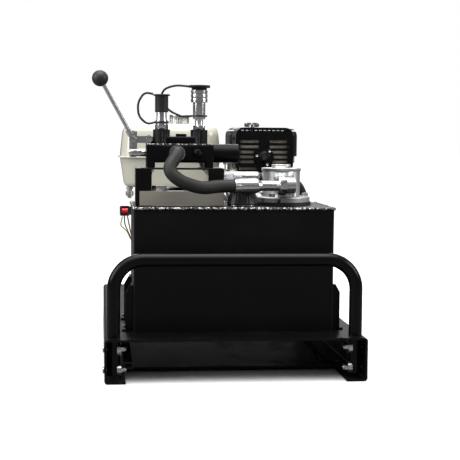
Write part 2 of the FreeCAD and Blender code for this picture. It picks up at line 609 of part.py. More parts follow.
def lever(ear_x):
    anchor = V(ear_x - 14, VALVE_Y, SPOOL_Z + LEVER_RISE)
    links = []
    for side in (-1, 1):
        y = VALVE_Y + side * 8.5
        low, high = y - 2, y + 2
        outline = box(PIVOT.x, anchor.x, low, high, PIVOT.z - 9, PIVOT.z + 7)
        link = fuse(outline, cyl(V(PIVOT.x, low, PIVOT.z), Y, 9, 4), cyl(V(anchor.x, low, anchor.z), Y, 9, 4))
        link = link.cut(cyl(V(PIVOT.x, VALVE_Y - 20, PIVOT.z), Y, 5, 40))
        link = link.cut(cyl(anchor - Y * 20, Y, 4.02, 40))
        links.append(link)
    pins = [fuse(cyl(PIVOT - Y * 14, Y, 5, 28), cyl(PIVOT - Y * 15, Y, 7, 3), cyl(PIVOT + Y * 12, Y, 7, 3)),
            fuse(cyl(anchor - Y * 14, Y, 4, 28), cyl(anchor - Y * 15, Y, 6.5, 3),
                 cyl(anchor + Y * 12, Y, 6.5, 3))]
    save("lever_links", *(links + pins))
    slot = fuse(box(PIVOT.x - 4.3, PIVOT.x + 4.3, VALVE_Y - 8, VALVE_Y + 8, SPOOL_Z - 2, SPOOL_Z + 3),
                cyl(V(PIVOT.x, VALVE_Y - 8, SPOOL_Z + 3), Y, 4.3, 16),
                cyl(V(PIVOT.x, VALVE_Y - 8, SPOOL_Z - 2), Y, 4.3, 16))
    arm = round_box(PIVOT.x - 9, PIVOT.x + 9, VALVE_Y - 4.5, VALVE_Y + 4.5, SPOOL_Z - 10, PIVOT.z + 20, 4, Y)
    arm = arm.cut(slot).cut(cyl(V(PIVOT.x, VALVE_Y - 8, PIVOT.z), Y, 5 + RUN, 16))
    up = V(ROD_DX, 0, ROD_DZ).normalize()
    rod = cyl(PIVOT + up * 9, up, ROD_R, V(ROD_DX, 0, ROD_DZ).Length - 9 - KNOB_R * 0.5)
    rod = fuse(rod, cyl(PIVOT + up * 9, up, 7.5, 16))
    rod = rod.cut(cyl(V(PIVOT.x, VALVE_Y - 20, PIVOT.z), Y, 5 + RUN, 40)).cut(box(
        PIVOT.x - 40, PIVOT.x + 40, VALVE_Y + 6, VALVE_Y + 30, PIVOT.z - 20, PIVOT.z + 12)).cut(box(
            PIVOT.x - 40, PIVOT.x + 40, VALVE_Y - 30, VALVE_Y - 6, PIVOT.z - 20, PIVOT.z + 12))
    save("lever_arm", fuse(arm, rod))
    knob_centre = PIVOT + V(ROD_DX, 0, ROD_DZ)
    knob = Part.makeSphere(KNOB_R, knob_centre).cut(cyl(PIVOT + up * 9, up, ROD_R,
                                                        V(ROD_DX, 0, ROD_DZ).Length - 9 - KNOB_R * 0.5))
    save("lever_knob", knob)


def couplers():
    top = V(PORT_A_X, VALVE_Y, PORT_Z)
    male = fuse(hexagon(top, Z, 27, 12), cyl(top + Z * 12, Z, 14, 10), cyl(top - Z * 12, Z, 8, 12),
                cyl(top + Z * 22, Z, 12, 18), cone(top + Z * 40, Z, 11, 8, 12), cyl(top + Z * 52, Z, 8, 8))
    male = male.cut(cyl(top - Z * 13, Z, 5, 90))
    low = top + Z * 40
    cap = fuse(cyl(low, Z, 15.5, 38), cyl(low + Z * 38, Z, 19.5, 4))
    cap = cap.makeFillet(1.5, [e for e in cap.Edges if e.Closed and e.CenterOfMass.z > low.z + 41.9])
    save("male_dust_cap", cap.cut(cyl(low - Z, Z, 12.3, 24)))
    top = V(PORT_B_X, VALVE_Y, PORT_Z)
    female = fuse(hexagon(top, Z, 25, 10), cyl(top - Z * 12, Z, 8, 12), cyl(top + Z * 10, Z, 9.5, 15),
                  cyl(top + Z * 25, Z, 14.5, 56), cyl(top + Z * 81, Z, 13, 12))
    female = female.cut(cyl(top - Z * 13, Z, 6, 20)).cut(cyl(top + Z * 35, Z, 9, 90))
    save("couplers", male, female)
    low = top + Z * 64
    sleeve = cyl(low, Z, 19.5, 28)
    for z in (9, 19):
        sleeve = sleeve.cut(ring(low + Z * z, Z, 21, 18, 2))
    save("female_sleeve", sleeve.cut(cyl(low - Z, Z, 14.5 + RUN, 40)))
    low = top + Z * 93
    plug = fuse(cyl(low, Z, 18, 5), cyl(low + Z * 5, Z, 25.5, 6), cyl(low - Z * 20, Z, 8.8, 21))
    plug = plug.makeFillet(1.5, [e for e in plug.Edges if e.Closed and e.CenterOfMass.z > low.z + 10.9])
    save("female_dust_plug", plug)


def straps():
    """Tethers of the two dust caps: a ring round the coupler, then a loop up to the lid."""
    base = V(PORT_A_X, VALVE_Y, PORT_Z)
    collar = ring(base + Z * 14, Z, 17, 14.3, 5)
    loop = tube([base + V(-16, 0, 16), base + V(-34, -3, 12), base + V(-54, -4, 30), base + V(-56, -4, 62),
                 base + V(-40, -2, 86), base + V(-18, 0, 82)], 2.6)
    save("male_strap", fuse(collar, loop).cut(cyl(base + Z * 60, Z, 19.5 + GAP, 40)))
    base = V(PORT_B_X, VALVE_Y, PORT_Z)
    collar = ring(base + Z * 30, Z, 19, 14.8, 4)
    loop = tube([base + V(-18, 0, 32), base + V(-38, 10, 30), base + V(-66, 24, 42), base + V(-90, 30, 66),
                 base + V(-84, 24, 94), base + V(-56, 10, 104), base + V(-24, 0, 101)], 2.6)
    save("female_strap", fuse(collar, loop).cut(cyl(base + Z * 90, Z, 25.5 + GAP, 40)))


# ---------------------------------------------------------------- hoses
def hoses():
    front = VALVE_Y - VALVE_D / 2 - 8
    port = V(RETURN_X, front, SPOOL_Z)
    elbow = V(FILTER_X, FILTER_Y - FILTER_R - 12 - 22, TANK_TOP + FILTER_PORT_Z)
    ferrule_start = V(FILLER_X - 26, elbow.y - 24, elbow.z)
    run_in = (elbow - ferrule_start).normalize()
    points = [port - Y * 8, port + V(0, -38, 0), port + V(-25, -60, -36), port + V(2, -66, -62),
              port + V(54, -58, -79), ferrule_start - run_in * 36, ferrule_start]
    save("return_hose", tube(points, HOSE_R, 9.5))
    length = (elbow - ferrule_start).Length
    ferrule = fuse(cyl(ferrule_start, run_in, 17.2, 54), cone(ferrule_start + run_in * 54, run_in, 17.2, 12,
                                                              12),
                   cyl(ferrule_start + run_in * 60, run_in, 12, length - 60 - 17))
    ferrule = fuse(ferrule, hexagon(elbow - run_in * 19, run_in, 38, 16))
    knee = fuse(cyl(elbow - run_in * 3, run_in, 19, 22), cyl(elbow, Y, 19, 12),
                hexagon(elbow + Y * 10, Y, 38, 12),
                cyl(elbow + Y * 20, Y, 12.9, 16))
    stub = fuse(hexagon(port, -Y, 32, 8), ring(port - Y * 7, -Y, 18.5, HOSE_R + 0.02, 5),
                cyl(port + Y * 8, -Y, 8.9, 15))
    save("return_fittings", ferrule, knee.cut(ferrule), stub)


def pressure_line():
    port = V(INLET_X, VALVE_Y + VALVE_D / 2 + 8, SPOOL_Z - 4)
    tail = V(30, TANK_Y1 - 36, TANK_TOP + 62)
    bent = tube([port - Y * 8, port + V(0, 20, 0), port + V(8, 42, -26), tail - X * 54,
                 tail - X * 20], 8)
    nut = hexagon(tail - X * 36, X, 26, 30).cut(cyl(tail - X * 40, X, 8.02, 20))
    ferrule = fuse(cyl(tail - X * 6, X, 14.5, 56), cone(tail + X * 50, X, 14.5, 12.5, 6))
    pump_port = V(CRANK_X + PUMP_W / 2, PUMP_Y0 + 34, CRANK_Z - 10)
    end = pump_port + X * 70
    ferrule_low = fuse(cyl(pump_port + X * 22, X, 14.5, 48), hexagon(pump_port, X, 30, 24))
    start = tail + X * 56
    hose = tube([start, start + V(52, 0, 0), start + V(104, 38, -16), start + V(126, 70, -64),
                 V(end.x + 116, end.y, end.z + 56), V(end.x + 58, end.y, end.z), end], LINE_R, 6)
    save("pressure_hose", hose)
    return [bent, nut, ferrule, ferrule_low]


def suction_line():
    port = V(SUCTION_X, TANK_Y1, SUCTION_Z)
    pump_port = V(CRANK_X - PUMP_W / 2, PUMP_Y0 + 34, CRANK_Z - 10)
    corner = V(port.x, pump_port.y, port.z)
    knee = fuse(cyl(port - Y * 12, Y, 11.9, 40), hexagon(port, Y, 38, 14),
                cyl(port, Y, 17, corner.y - port.y + 17),
                cyl(corner, Z, 16, 30))
    rise = pump_port.z - corner.z
    reach = pump_port.x - corner.x
    hose = tube([corner + Z * 30, corner + Z * (rise - reach * 0.22), corner + V(reach * 0.22, 0, rise),
                 pump_port - X * 24], SUCTION_R, 12)
    save("suction_hose", hose)
    stub = hexagon(pump_port - X * 24, X, 38, 24)
    clamps = [ring(corner + Z * 32, Z, SUCTION_R + 1.2, SUCTION_R + 0.01, 9)]
    return [knee, stub] + clamps


# ---------------------------------------------------------------- pump and drive
def gear(centre, phase):
    """A spur gear with involute flanks, its teeth thinned for backlash."""
    pitch_r = GEAR_M * GEAR_Z / 2
    base_r = pitch_r * math.cos(math.radians(25))
    tip_r = pitch_r + GEAR_M * 0.85
    root_r = pitch_r - GEAR_M * 1.15

    def spread(radius):
        if radius <= base_r:
            return 0.0
        angle = math.acos(base_r / radius)
        return math.tan(angle) - angle

    half = math.pi / (2 * GEAR_Z) - 0.018 + spread(pitch_r)
    radii = [root_r] + [base_r + (tip_r - base_r) * k / 4 for k in range(5)]
    points = []
    for tooth in range(GEAR_Z):
        middle = phase + 2 * math.pi * tooth / GEAR_Z
        for side in (-1, 1):
            for radius in (radii if side < 0 else radii[::-1]):
                angle = middle + side * (half - spread(radius))
                points.append(centre + V(radius * math.cos(angle), 0, radius * math.sin(angle)))
    return plate(points, Y, GEAR_W)


def pump():
    drive = V(CRANK_X, PUMP_Y0 + 34, CRANK_Z)
    driven = drive - Z * GEAR_PITCH
    cavity_r = GEAR_PITCH / 2 + GEAR_M * 0.85 + 0.1
    body = round_box(CRANK_X - PUMP_W / 2, CRANK_X + PUMP_W / 2, PUMP_Y0 + 22, PUMP_Y1,
                     CRANK_Z - PUMP_H / 2 - 18, CRANK_Z + PUMP_H / 2 - 18, 14, Y)
    cover = round_box(CRANK_X - PUMP_W / 2, CRANK_X + PUMP_W / 2, PUMP_Y0, PUMP_Y0 + 22,
                      CRANK_Z - PUMP_H / 2 - 18, CRANK_Z + PUMP_H / 2 - 18, 14, Y)
    for axis in (drive, driven):
        start = V(axis.x, PUMP_Y0 + 34 - 0.2, axis.z)
        body = body.cut(cyl(start, Y, cavity_r, GEAR_W + 0.4))
        body = body.cut(cyl(V(axis.x, PUMP_Y0 + 24, axis.z), Y, 8 + RUN, 50))
    body = body.cut(cyl(V(CRANK_X, PUMP_Y0 + 24, CRANK_Z), Y, 8 + RUN, 200))
    for side in (-1, 1):
        body = body.cut(cyl(V(CRANK_X, PUMP_Y0 + 34 + GEAR_W / 2, CRANK_Z - 10), X * side, 8, PUMP_W))
    screws = []
    for x in (-1, 1):
        for z in (-1, 1):
            place = V(CRANK_X + x * (PUMP_W / 2 - 11), PUMP_Y0, CRANK_Z - 18 + z * (PUMP_H / 2 - 11))
            screws.append(cap_screw(place, -Y, 4, PUMP_L - 10))
    bolts = Part.makeCompound(screws)
    save("pump_body", body.cut(bolts), cover.cut(bolts))
    shaft_end = PUMP_Y1 + 42
    drive_gear = fuse(gear(V(drive.x, PUMP_Y0 + 34, drive.z), math.pi / 2),
                      cyl(V(CRANK_X, PUMP_Y0 + 25, CRANK_Z), Y, 8, shaft_end - PUMP_Y0 - 25))
    driven_gear = fuse(gear(V(driven.x, PUMP_Y0 + 34, driven.z), math.pi / 2 + math.pi / GEAR_Z),
                       cyl(V(driven.x, PUMP_Y0 + 25, driven.z), Y, 8, 42))
    save("pump_drive_gear", drive_gear)
    save("pump_driven_gear", driven_gear)
    return screws


def bell_housing():
    start = V(CRANK_X, PUMP_Y1, CRANK_Z)
    bell = fuse(cyl(start, Y, 62, 10), cone(start + Y * 10, Y, 56, 74, BELL_L - 22),
                cyl(start + Y * (BELL_L - 12), Y, 84, 12))
    bell = bell.cut(fuse(cone(start + Y * 10, Y, 48, 66, BELL_L - 22),
                         cyl(start + Y * (BELL_L - 13), Y, 66, 14)))
    bell = bell.cut(cyl(start - Y, Y, 24, 20))
    bell = bell.cut(box(CRANK_X - 24, CRANK_X + 24, PUMP_Y1 + 30, PUMP_Y1 + BELL_L - 30, CRANK_Z,
                        CRANK_Z + 120))
    screws = []
    for k in range(4):
        angle = math.radians(45 + 90 * k)
        place = start + V(75 * math.cos(angle), BELL_L - 12, 75 * math.sin(angle))
        screws.append(cap_screw(place, -Y, 4, 12))
    save("bell_housing", bell.cut(Part.makeCompound(screws)))
    hub_y = PUMP_Y1 + 16
    hub = ring(V(CRANK_X, hub_y, CRANK_Z), Y, 32, 8, 24)
    engine_hub = ring(V(CRANK_X, hub_y + 36, CRANK_Z), Y, 32, SHAFT_R, 38)
    spider = ring(V(CRANK_X, hub_y + 24, CRANK_Z), Y, 32, 17, 12)
    save("shaft_coupling", hub, engine_hub, spider)
    return screws


# ---------------------------------------------------------------- engine
def engine(bolts):
    y0, y1 = ENGINE_Y, ENGINE_Y + BLOCK_L
    x0, x1 = CRANK_X - BLOCK_W / 2 - 5, CRANK_X + BLOCK_W / 2 - 5
    block = round_box(x0, x1, y0 + 12, y1, FOOT_Z, FOOT_Z + BLOCK_H, 22, Y)
    block = block.fuse(box(x0 - 12, x1 + 12, y0 + 22, y1 - 12, FOOT_Z, FOOT_Z + 14))
    cover = fuse(cyl(V(CRANK_X, y0, CRANK_Z), Y, 84, 12),
                 round_box(x0 + 8, x1 - 8, y0 + 4, y0 + 12, FOOT_Z + 8, FOOT_Z + BLOCK_H - 16, 20, Y))
    middle = V(CRANK_X, 0, CRANK_Z)
    my = y0 + 12 + (BLOCK_L - 12) / 2
    barrel = box(CRANK_X, CRANK_X + 168, my - 48, my + 48, CRANK_Z - 46, CRANK_Z + 46)
    for k in range(6):
        x = CRANK_X + 108 + k * 10
        barrel = barrel.fuse(round_box(x, x + 3, my - 62, my + 62, CRANK_Z - 60, CRANK_Z + 60, 14, X))
    block = block.fuse(turned(barrel, -CYL_TILT, middle, Y))
    head = box(CRANK_X + 168, CRANK_X + 196, my - 50, my + 50, CRANK_Z - 48, CRANK_Z + 48)
    for k in range(3):
        x = CRANK_X + 170 + k * 9
        head = head.fuse(round_box(x, x + 3, my - 64, my + 64, CRANK_Z - 62, CRANK_Z + 62, 14, X))
    head = turned(head, -CYL_TILT, middle, Y)
    rocker = round_box(CRANK_X + 196, CRANK_X + 226, my - 46, my + 46, CRANK_Z - 40, CRANK_Z + 40, 14, X)
    rocker = turned(rocker, -CYL_TILT, middle, Y)
    stays = []
    for x in (CRANK_X - 88, CRANK_X + 44):
        for y in (FRONT + FUEL_SETBACK + 30, y1 - 20):
            stays.append(box(x - 9, x + 9, y - 8, y + 8, FOOT_Z + BLOCK_H - 30, FUEL_BOTTOM))
    for stay in stays:
        block = block.fuse(stay)
    shaft_hole = cyl(V(CRANK_X, y0 - 20, CRANK_Z), Y, SHAFT_R + 7, BLOCK_L + 60)
    cavity = round_box(x0 + 12, x1 - 12, y0 + 22, y1 - 10, FOOT_Z + 16, FOOT_Z + BLOCK_H - 12, 14, Y)
    oil_hole = cyl(oil_filler() - Y * 10, Y, 10 + GAP, 60)
    oil_seat = cyl(oil_filler() - Y * 30, Y, 17, 30)
    save("engine_block", block.removeSplitter().cut(shaft_hole).cut(cavity).cut(bolts).cut(oil_hole))
    bearing = cyl(V(CRANK_X, y0 - 1, CRANK_Z), Y, SHAFT_R + RUN, 60)
    save("side_cover", cover.removeSplitter().cut(bearing).cut(oil_hole).cut(oil_seat))
    head = head.removeSplitter()
    save("cylinder_head", head, rocker)
    hub_start = PUMP_Y1 + 16 + 36
    shaft = cyl(V(CRANK_X, hub_start, CRANK_Z), Y, SHAFT_R, y1 + 40 - hub_start)
    web = cyl(V(CRANK_X, my - 30, CRANK_Z), Y, 46, 16).fuse(cyl(V(CRANK_X, my + 14, CRANK_Z), Y, 46, 16))
    save("crankshaft", fuse(shaft, web))
    wheel = ring(V(CRANK_X, y1 + 12, CRANK_Z), Y, FAN_R - 22, SHAFT_R, 22)
    for k in range(16):
        blade = box(56, FAN_R - 24, -2, 2, 0, 16)
        blade.rotate(V(0, 0, 0), Z, 22.5 * k)
        blade.rotate(V(0, 0, 0), X, -90)
        blade.translate(V(CRANK_X, y1 + 33, CRANK_Z))
        wheel = wheel.fuse(blade)
    save("flywheel_fan", wheel.removeSplitter())
    return head


def fan_side():
    y0 = ENGINE_Y + BLOCK_L
    axis = V(CRANK_X, y0, CRANK_Z)
    drum = cyl(axis, Y, FAN_R, FAN_L)
    duct = box(CRANK_X, CRANK_X + FAN_R + 30, y0, y0 + FAN_L, CRANK_Z, CRANK_Z + FAN_R)
    outer = drum.fuse(duct).removeSplitter()
    inner = cyl(axis - Y, Y, FAN_R - 4, FAN_L - 3).fuse(
        box(CRANK_X, CRANK_X + FAN_R + 26, y0 - 1, y0 + FAN_L - 4, CRANK_Z + 4, CRANK_Z + FAN_R - 4))
    cover = outer.cut(inner).cut(cyl(axis, Y, 82, 200))
    start = axis + Y * FAN_L
    dome = fuse(cyl(start, Y, 98, 6), cone(start + Y * 6, Y, 94, 74, 20))
    dome = dome.cut(fuse(cyl(start - Y, Y, 88, 8), cone(start + Y * 6, Y, 88, 70, 17)))
    for k in range(20):
        slot = box(30, 64, -2.5, 2.5, -40, 40)
        slot.rotate(V(0, 0, 0), Z, 18 * k)
        slot.rotate(V(0, 0, 0), X, -90)
        slot.translate(start + Y * 20)
        dome = dome.cut(slot)
    outlet = start + V(-62, 8, 66)
    dome = dome.fuse(ring(outlet, Y, 13, 7, 26)).cut(cyl(outlet - Y * 10, Y, 7, 60))
    save("fan_cover", cover, dome.removeSplitter())
    grip_start = outlet + Y * (26 + GAP)
    grip = round_box(grip_start.x - 36, grip_start.x + 36, grip_start.y, grip_start.y + 20,
                     grip_start.z - 11, grip_start.z + 11, 9, Z)
    save("recoil_grip", grip)


def fuel_tank():
    y0 = FRONT + FUEL_SETBACK
    y1 = y0 + FUEL_D
    x0, x1 = FUEL_X - FUEL_W / 2, FUEL_X + FUEL_W / 2
    lower_wire = [V(x0 + 20, y0 + 14, FUEL_BOTTOM), V(x1 - 20, y0 + 14, FUEL_BOTTOM),
                  V(x1 - 20, y1 - 14, FUEL_BOTTOM), V(x0 + 20, y1 - 14, FUEL_BOTTOM)]
    upper_wire = [V(x0 + 5, y0 + 5, FUEL_RIM - 2), V(x1 - 5, y0 + 5, FUEL_RIM - 2),
                  V(x1 - 5, y1 - 5, FUEL_RIM - 2), V(x0 + 5, y1 - 5, FUEL_RIM - 2)]
    lower = Part.makeLoft([Part.makePolygon(lower_wire + lower_wire[:1]),
                           Part.makePolygon(upper_wire + upper_wire[:1])], True)
    upright = [e for e in lower.Edges if abs(e.BoundBox.ZLength) > 20]
    lower = lower.makeFillet(26, upright)
    lower = lower.makeFillet(10, [e for e in lower.Edges if e.BoundBox.ZMax < FUEL_BOTTOM + 0.1])
    rim = round_box(x0, x1, y0, y1, FUEL_RIM - 2, FUEL_RIM + 2, 30)
    dome_foot = [V(x, y, FUEL_RIM + 1) for x, y in ((x0 + 5, y0 + 5), (x1 - 5, y0 + 5), (x1 - 5, y1 - 5),
                                                    (x0 + 5, y1 - 5))]
    dome_head = [V(x, y, FUEL_TOP) for x, y in ((x0 + 5 + FUEL_TAPER, y0 + 5 + FUEL_TAPER / 2),
                                                (x1 - 5 - FUEL_TAPER, y0 + 5 + FUEL_TAPER / 2),
                                                (x1 - 5 - FUEL_TAPER, y1 - 5 - FUEL_TAPER / 2),
                                                (x0 + 5 + FUEL_TAPER, y1 - 5 - FUEL_TAPER / 2))]
    dome = Part.makeLoft([Part.makePolygon(dome_foot + dome_foot[:1]),
                          Part.makePolygon(dome_head + dome_head[:1])], True)
    dome = dome.makeFillet(26, [e for e in dome.Edges if e.BoundBox.ZLength > 20])
    dome = dome.makeFillet(20, [e for e in dome.Edges if e.BoundBox.ZMin > FUEL_TOP - 0.1])
    tank = fuse(lower, rim, dome)
    neck = V(FUEL_X + 26.5, y0 + FUEL_D / 2, FUEL_TOP)
    tank = tank.fuse(cyl(neck - Z * 4, Z, 21, 14)).cut(cyl(neck - Z * 8, Z, 17, 40))
    tank = tank.cut(soft_box(x0 + 34, x1 - 34, y0 + 28, y1 - 28, FUEL_BOTTOM + 6, FUEL_TOP - 6, 20, 8))
    save("fuel_tank", tank)
    low = neck + Z * GAP
    cap = cyl(low, Z, 27, 24)
    cap = cap.makeFillet(3, [e for e in cap.Edges if e.Closed and e.CenterOfMass.z > low.z + 23])
    for k in range(24):
        groove = cyl(V(27.6, 0, -1), Z, 1.8, 18)
        groove.rotate(V(0, 0, 0), Z, 15 * k)
        groove.translate(low)
        cap = cap.cut(groove)
    save("fuel_cap", cap.cut(cyl(low - Z, Z, 21 + GAP, 11 + 1)))
    return neck


def muffler():
    y0 = FRONT + MUFF_SETBACK
    x0, x1 = MUFF_X - MUFF_W / 2, MUFF_X + MUFF_W / 2
    z0, z1 = MUFF_TOP - MUFF_H, MUFF_TOP
    can = soft_box(x0 + 6, x1 - 6, y0 + 8, y0 + MUFF_D, z0 + 6, z1 - 8, 14, 8)
    port = exhaust_port()
    up = V(-math.sin(math.radians(CYL_TILT)), 0, math.cos(math.radians(CYL_TILT)))
    pipe = tube([port, port + up * 30, V(MUFF_X - 20, port.y, z0 + 2), V(MUFF_X - 20, port.y, z0 + 30)], 16,
                12)
    flange = turned(box(port.x - 28, port.x + 28, port.y - 22, port.y + 22, port.z, port.z + 6), -CYL_TILT,
                    port, Y)
    can = fuse(can, pipe, flange)
    shield = round_box(x0, x1, y0, y0 + MUFF_D - 6, z0, z1, 22, Y)
    shield = shield.cut(round_box(x0 + 1.6, x1 - 1.6, y0 + 1.6, y0 + MUFF_D, z0 - 40, z1 - 1.6, 20.4, Y))
    for k in range(11):
        x = MUFF_X + (k - 5) * 11.8
        shield = shield.cut(box(x - 3.5, x + 3.5, y0 - 1, y0 + 3, z1 - 12, z1 - 7))
    rows = [(z1 - 37, 53, 51), (z1 - 51, 53, 51), (z1 - 65, 40, 44), (z1 - 78, 40, 44), (z1 - 91, 40, 44),
            (z1 - 109, 48, 44)]
    for z, left, right in rows:
        shield = shield.cut(round_box(MUFF_X - 68, MUFF_X - 68 + left, y0 - 1, y0 + 3, z - SLOT_H / 2,
                                      z + SLOT_H / 2, 3, Y))
        shield = shield.cut(round_box(MUFF_X + 64 - right, MUFF_X + 64, y0 - 1, y0 + 3, z - SLOT_H / 2,
                                      z + SLOT_H / 2, 3, Y))
    for k in range(5):
        z = z1 - 30 - k * 18
        for x in (x0 - 1, x1 - 3):
            shield = shield.cut(box(x, x + 4, y0 + 20, y0 + MUFF_D - 24, z - 3, z + 3))
    outlet = V(MUFF_X, y0, z1 - 78)
    shield = shield.cut(cyl(outlet - Y, Y, OUTLET_R - 6, 8))
    deflector = fuse(cyl(outlet - Y * 2.5, Y, OUTLET_R, 2.5), cone(outlet - Y * 9, Y, 11, 17, 8))
    deflector = deflector.cut(cyl(outlet - Y * 10, Y, 8, 20))
    screws = []
    for angle in (50, 170, 290):
        place = outlet + V(21 * math.cos(math.radians(angle)), -2.5, 21 * math.sin(math.radians(angle)))
        screws.append(cap_screw(place, -Y, 2, 3.5))
        deflector = deflector.cut(cyl(place - Y, Y, 2.02, 6))
        shield = shield.cut(cyl(place - Y, Y, 2.02, 6))
    save("muffler_shield", shield, deflector)
    mouth = ring(outlet + Y * 0.5, Y, 15, 12, 10)
    save("muffler", fuse(can, mouth))
    return screws


def intake(head):
    y0 = FRONT + AIR_SETBACK
    x0, x1 = AIR_X - AIR_W / 2, AIR_X + AIR_W / 2
    z0 = AIR_TOP - AIR_H
    base = round_box(x0 + 6, x1 - 6, y0 + 6, y0 + AIR_D - 6, z0, z0 + 18, 20)
    port_y = y0 + 50
    elbow = cyl(V(CARB_X, port_y, z0 - 20), Z, 20, 24)
    stud = cyl(V(STUD_X, y0 + AIR_D / 2, z0 + 10), Z, 3, AIR_H + 4)
    base = fuse(base, elbow, stud)
    cover = round_box(x0, x1, y0, y0 + AIR_D, z0 + 18 + GAP, AIR_TOP, 26)
    cover = cover.makeFillet(22, [e for e in cover.Edges if e.BoundBox.ZMin > AIR_TOP - 0.1])
    hollow = round_box(x0 + 4, x1 - 4, y0 + 4, y0 + AIR_D - 4, z0 + 10, AIR_TOP - 6, 22)
    cover = cover.cut(hollow).cut(cyl(V(STUD_X, y0 + AIR_D / 2, z0), Z, 3.3, 200))
    save("air_cleaner_cover", cover)
    nut_z = AIR_TOP + GAP
    nut = V(STUD_X, y0 + AIR_D / 2, nut_z)
    wings = round_box(nut.x - 21, nut.x + 21, nut.y - 2, nut.y + 2, nut_z + 2, nut_z + 14, 5, Y)
    wing_nut = fuse(cyl(nut, Z, 8, 9), wings).cut(cyl(nut - Z, Z, 3.3, 30))
    save("wing_nut", wing_nut)
    carb = fuse(round_box(CARB_X - 21, CARB_X + 21, port_y - 29, port_y + 29, z0 - 62, z0 - 20, 8),
                cyl(V(CARB_X, port_y, z0 - 84), Z, 20, 24))
    save("carburettor", carb.cut(head), base)
    return V(CARB_X - 21, port_y, z0 - 34)


def engine_mounts():
    rails, bolts = [], []
    for x in (CRANK_X - 100, CRANK_X + 90):
        y0, y1 = ENGINE_Y + 10, ENGINE_Y + BLOCK_L
        rail = box(x - 24, x + 24, y0, y1, DECK, FOOT_Z).cut(box(x - 19, x + 19, y0 - 1, y1 + 1, DECK - 1,
                                                                 FOOT_Z - 5))
        for y in (y0 + 34, y1 - 34):
            place = V(x - 14 if x < CRANK_X else x + 14, y, FOOT_Z + 14)
            bolts += bolt(place, -Z, 4.9, 30, 16, 7, 14 + 5)
        rails.append(rail)
        rails.append(box(x - 44, x - 24, y0 + 60, y0 + 110, DECK, DECK + 5))
        rails.append(box(x + 24, x + 44, y0 + 60, y0 + 110, DECK, DECK + 5))
    holes = Part.makeCompound(bolts)
    return [r.cut(holes) for r in rails], bolts


def exhaust_port():
    """The middle of the exhaust flange's seat on the cylinder head."""
    along = V(math.cos(math.radians(CYL_TILT)), 0, math.sin(math.radians(CYL_TILT)))
    across = V(-along.z, 0, along.x)
    return V(CRANK_X, ENGINE_Y + 62, CRANK_Z) + along * 182 + across * 62


def oil_filler():
    """The oil filler cap's seat, low on the engine's front."""
    return V(CRANK_X - BLOCK_W / 2 + 24, ENGINE_Y + 3, FOOT_Z + 40)


def controls(carb_side):
    """Engine switch, throttle lever, oil filler cap and the switch's leads."""
    wall = CRANK_X - BLOCK_W / 2 - 5
    y = ENGINE_Y + 12
    z = FOOT_Z + BLOCK_H - 32
    bracket = fuse(box(wall - SWITCH_OUT - 2, wall, y, y + 3, z - 10, z + 12),
                   box(wall - 2, wall, y, y + 40, z - 10, z + 12))
    housing = round_box(wall - SWITCH_OUT - 13, wall - SWITCH_OUT + 13, y - 12, y, z - 12, z + 14, 4, Y)
    pivot = V(wall - SWITCH_OUT, y - 12, z + 1)
    housing = housing.cut(box(pivot.x - 8, pivot.x + 8, y - 13, y - 2, pivot.z - 10, pivot.z + 10))
    save("switch_housing", bracket, housing)
    rocker = cyl(V(pivot.x - 7.5, pivot.y + 4, pivot.z), X, 8, 15)
    rocker = rocker.cut(box(pivot.x - 20, pivot.x + 20, pivot.y + 4 + 4, pivot.y + 20, pivot.z - 20,
                            pivot.z + 20))
    save("switch_rocker", rocker)
    leads = []
    foot = V(wall - 2, y + 30, z - 96)
    for k, dx in enumerate((12, 0, -12)):
        start = V(pivot.x + dx * 0.5, y + 3, z - 4 - 6 * k)
        side = 6 + LEAD_PITCH * k
        leads.append(tube([start, start + V(0, 14, 0), start + V(dx * 0.4, 16 + side, -26),
                           foot + V(-22 - 7 * k, side, 30 + 7 * k), foot + V(-14 - 3 * k, side, 6 * k),
                           foot + V(2, side, 6 * k)], LEAD_R))
    save("switch_leads", *leads)
    oil = oil_filler()
    cap = fuse(cyl(oil, -Y, 16, 14), cyl(oil, Y, 9.8, 10))
    for k in range(12):
        notch = cyl(V(16.5, 0, 3), Z, 2, 12)
        notch.rotate(V(0, 0, 0), Z, 30 * k)
        notch.rotate(V(0, 0, 0), X, 90)
        notch.translate(oil)
        cap = cap.cut(notch)
    save("oil_fill_cap", cap)
    hub = carb_side - X * (6 + GAP)
    arm = fuse(cyl(hub, X, 8, 6), box(hub.x, hub.x + 3, hub.y - 4, hub.y + 4, hub.z, hub.z + 34),
               cyl(V(hub.x - 4, hub.y, hub.z + 34), X, 6, 10))
    save("throttle_lever", arm)


def main():
    skid()
    belly_pan()
    handle()
    handle_fixings()
    plugs = reservoir()
    brackets, tank_screws = tank_brackets()
    filler()
    tank_screws += filter_unit()
    stand_screws, holes, valve_bolts = valve_stand()
    save("reservoir_screws", *(tank_screws + stand_screws))
    ear_x, valve_plugs = valve_body(holes, valve_bolts)
    save("port_plugs", *(plugs + valve_plugs))
    spool_and_cap()
    lever(ear_x)
    couplers()
    straps()
    hoses()
    fittings = pressure_line() + suction_line()
    save("pump_line_fittings", *fittings)
    drive_screws = pump() + bell_housing()
    rails, engine_bolts = engine_mounts()
    head = engine(Part.makeCompound(engine_bolts))
    fan_side()
    fuel_tank()
    engine_bolts += muffler()
    carb_side = intake(head)
    save("engine_bolts", *(drive_screws + engine_bolts))
    save("deck_brackets", *(brackets + rails))
    controls(carb_side)


main()
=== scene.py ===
"""Looks of the petrol-engine hydraulic power unit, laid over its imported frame."""

import json
import math

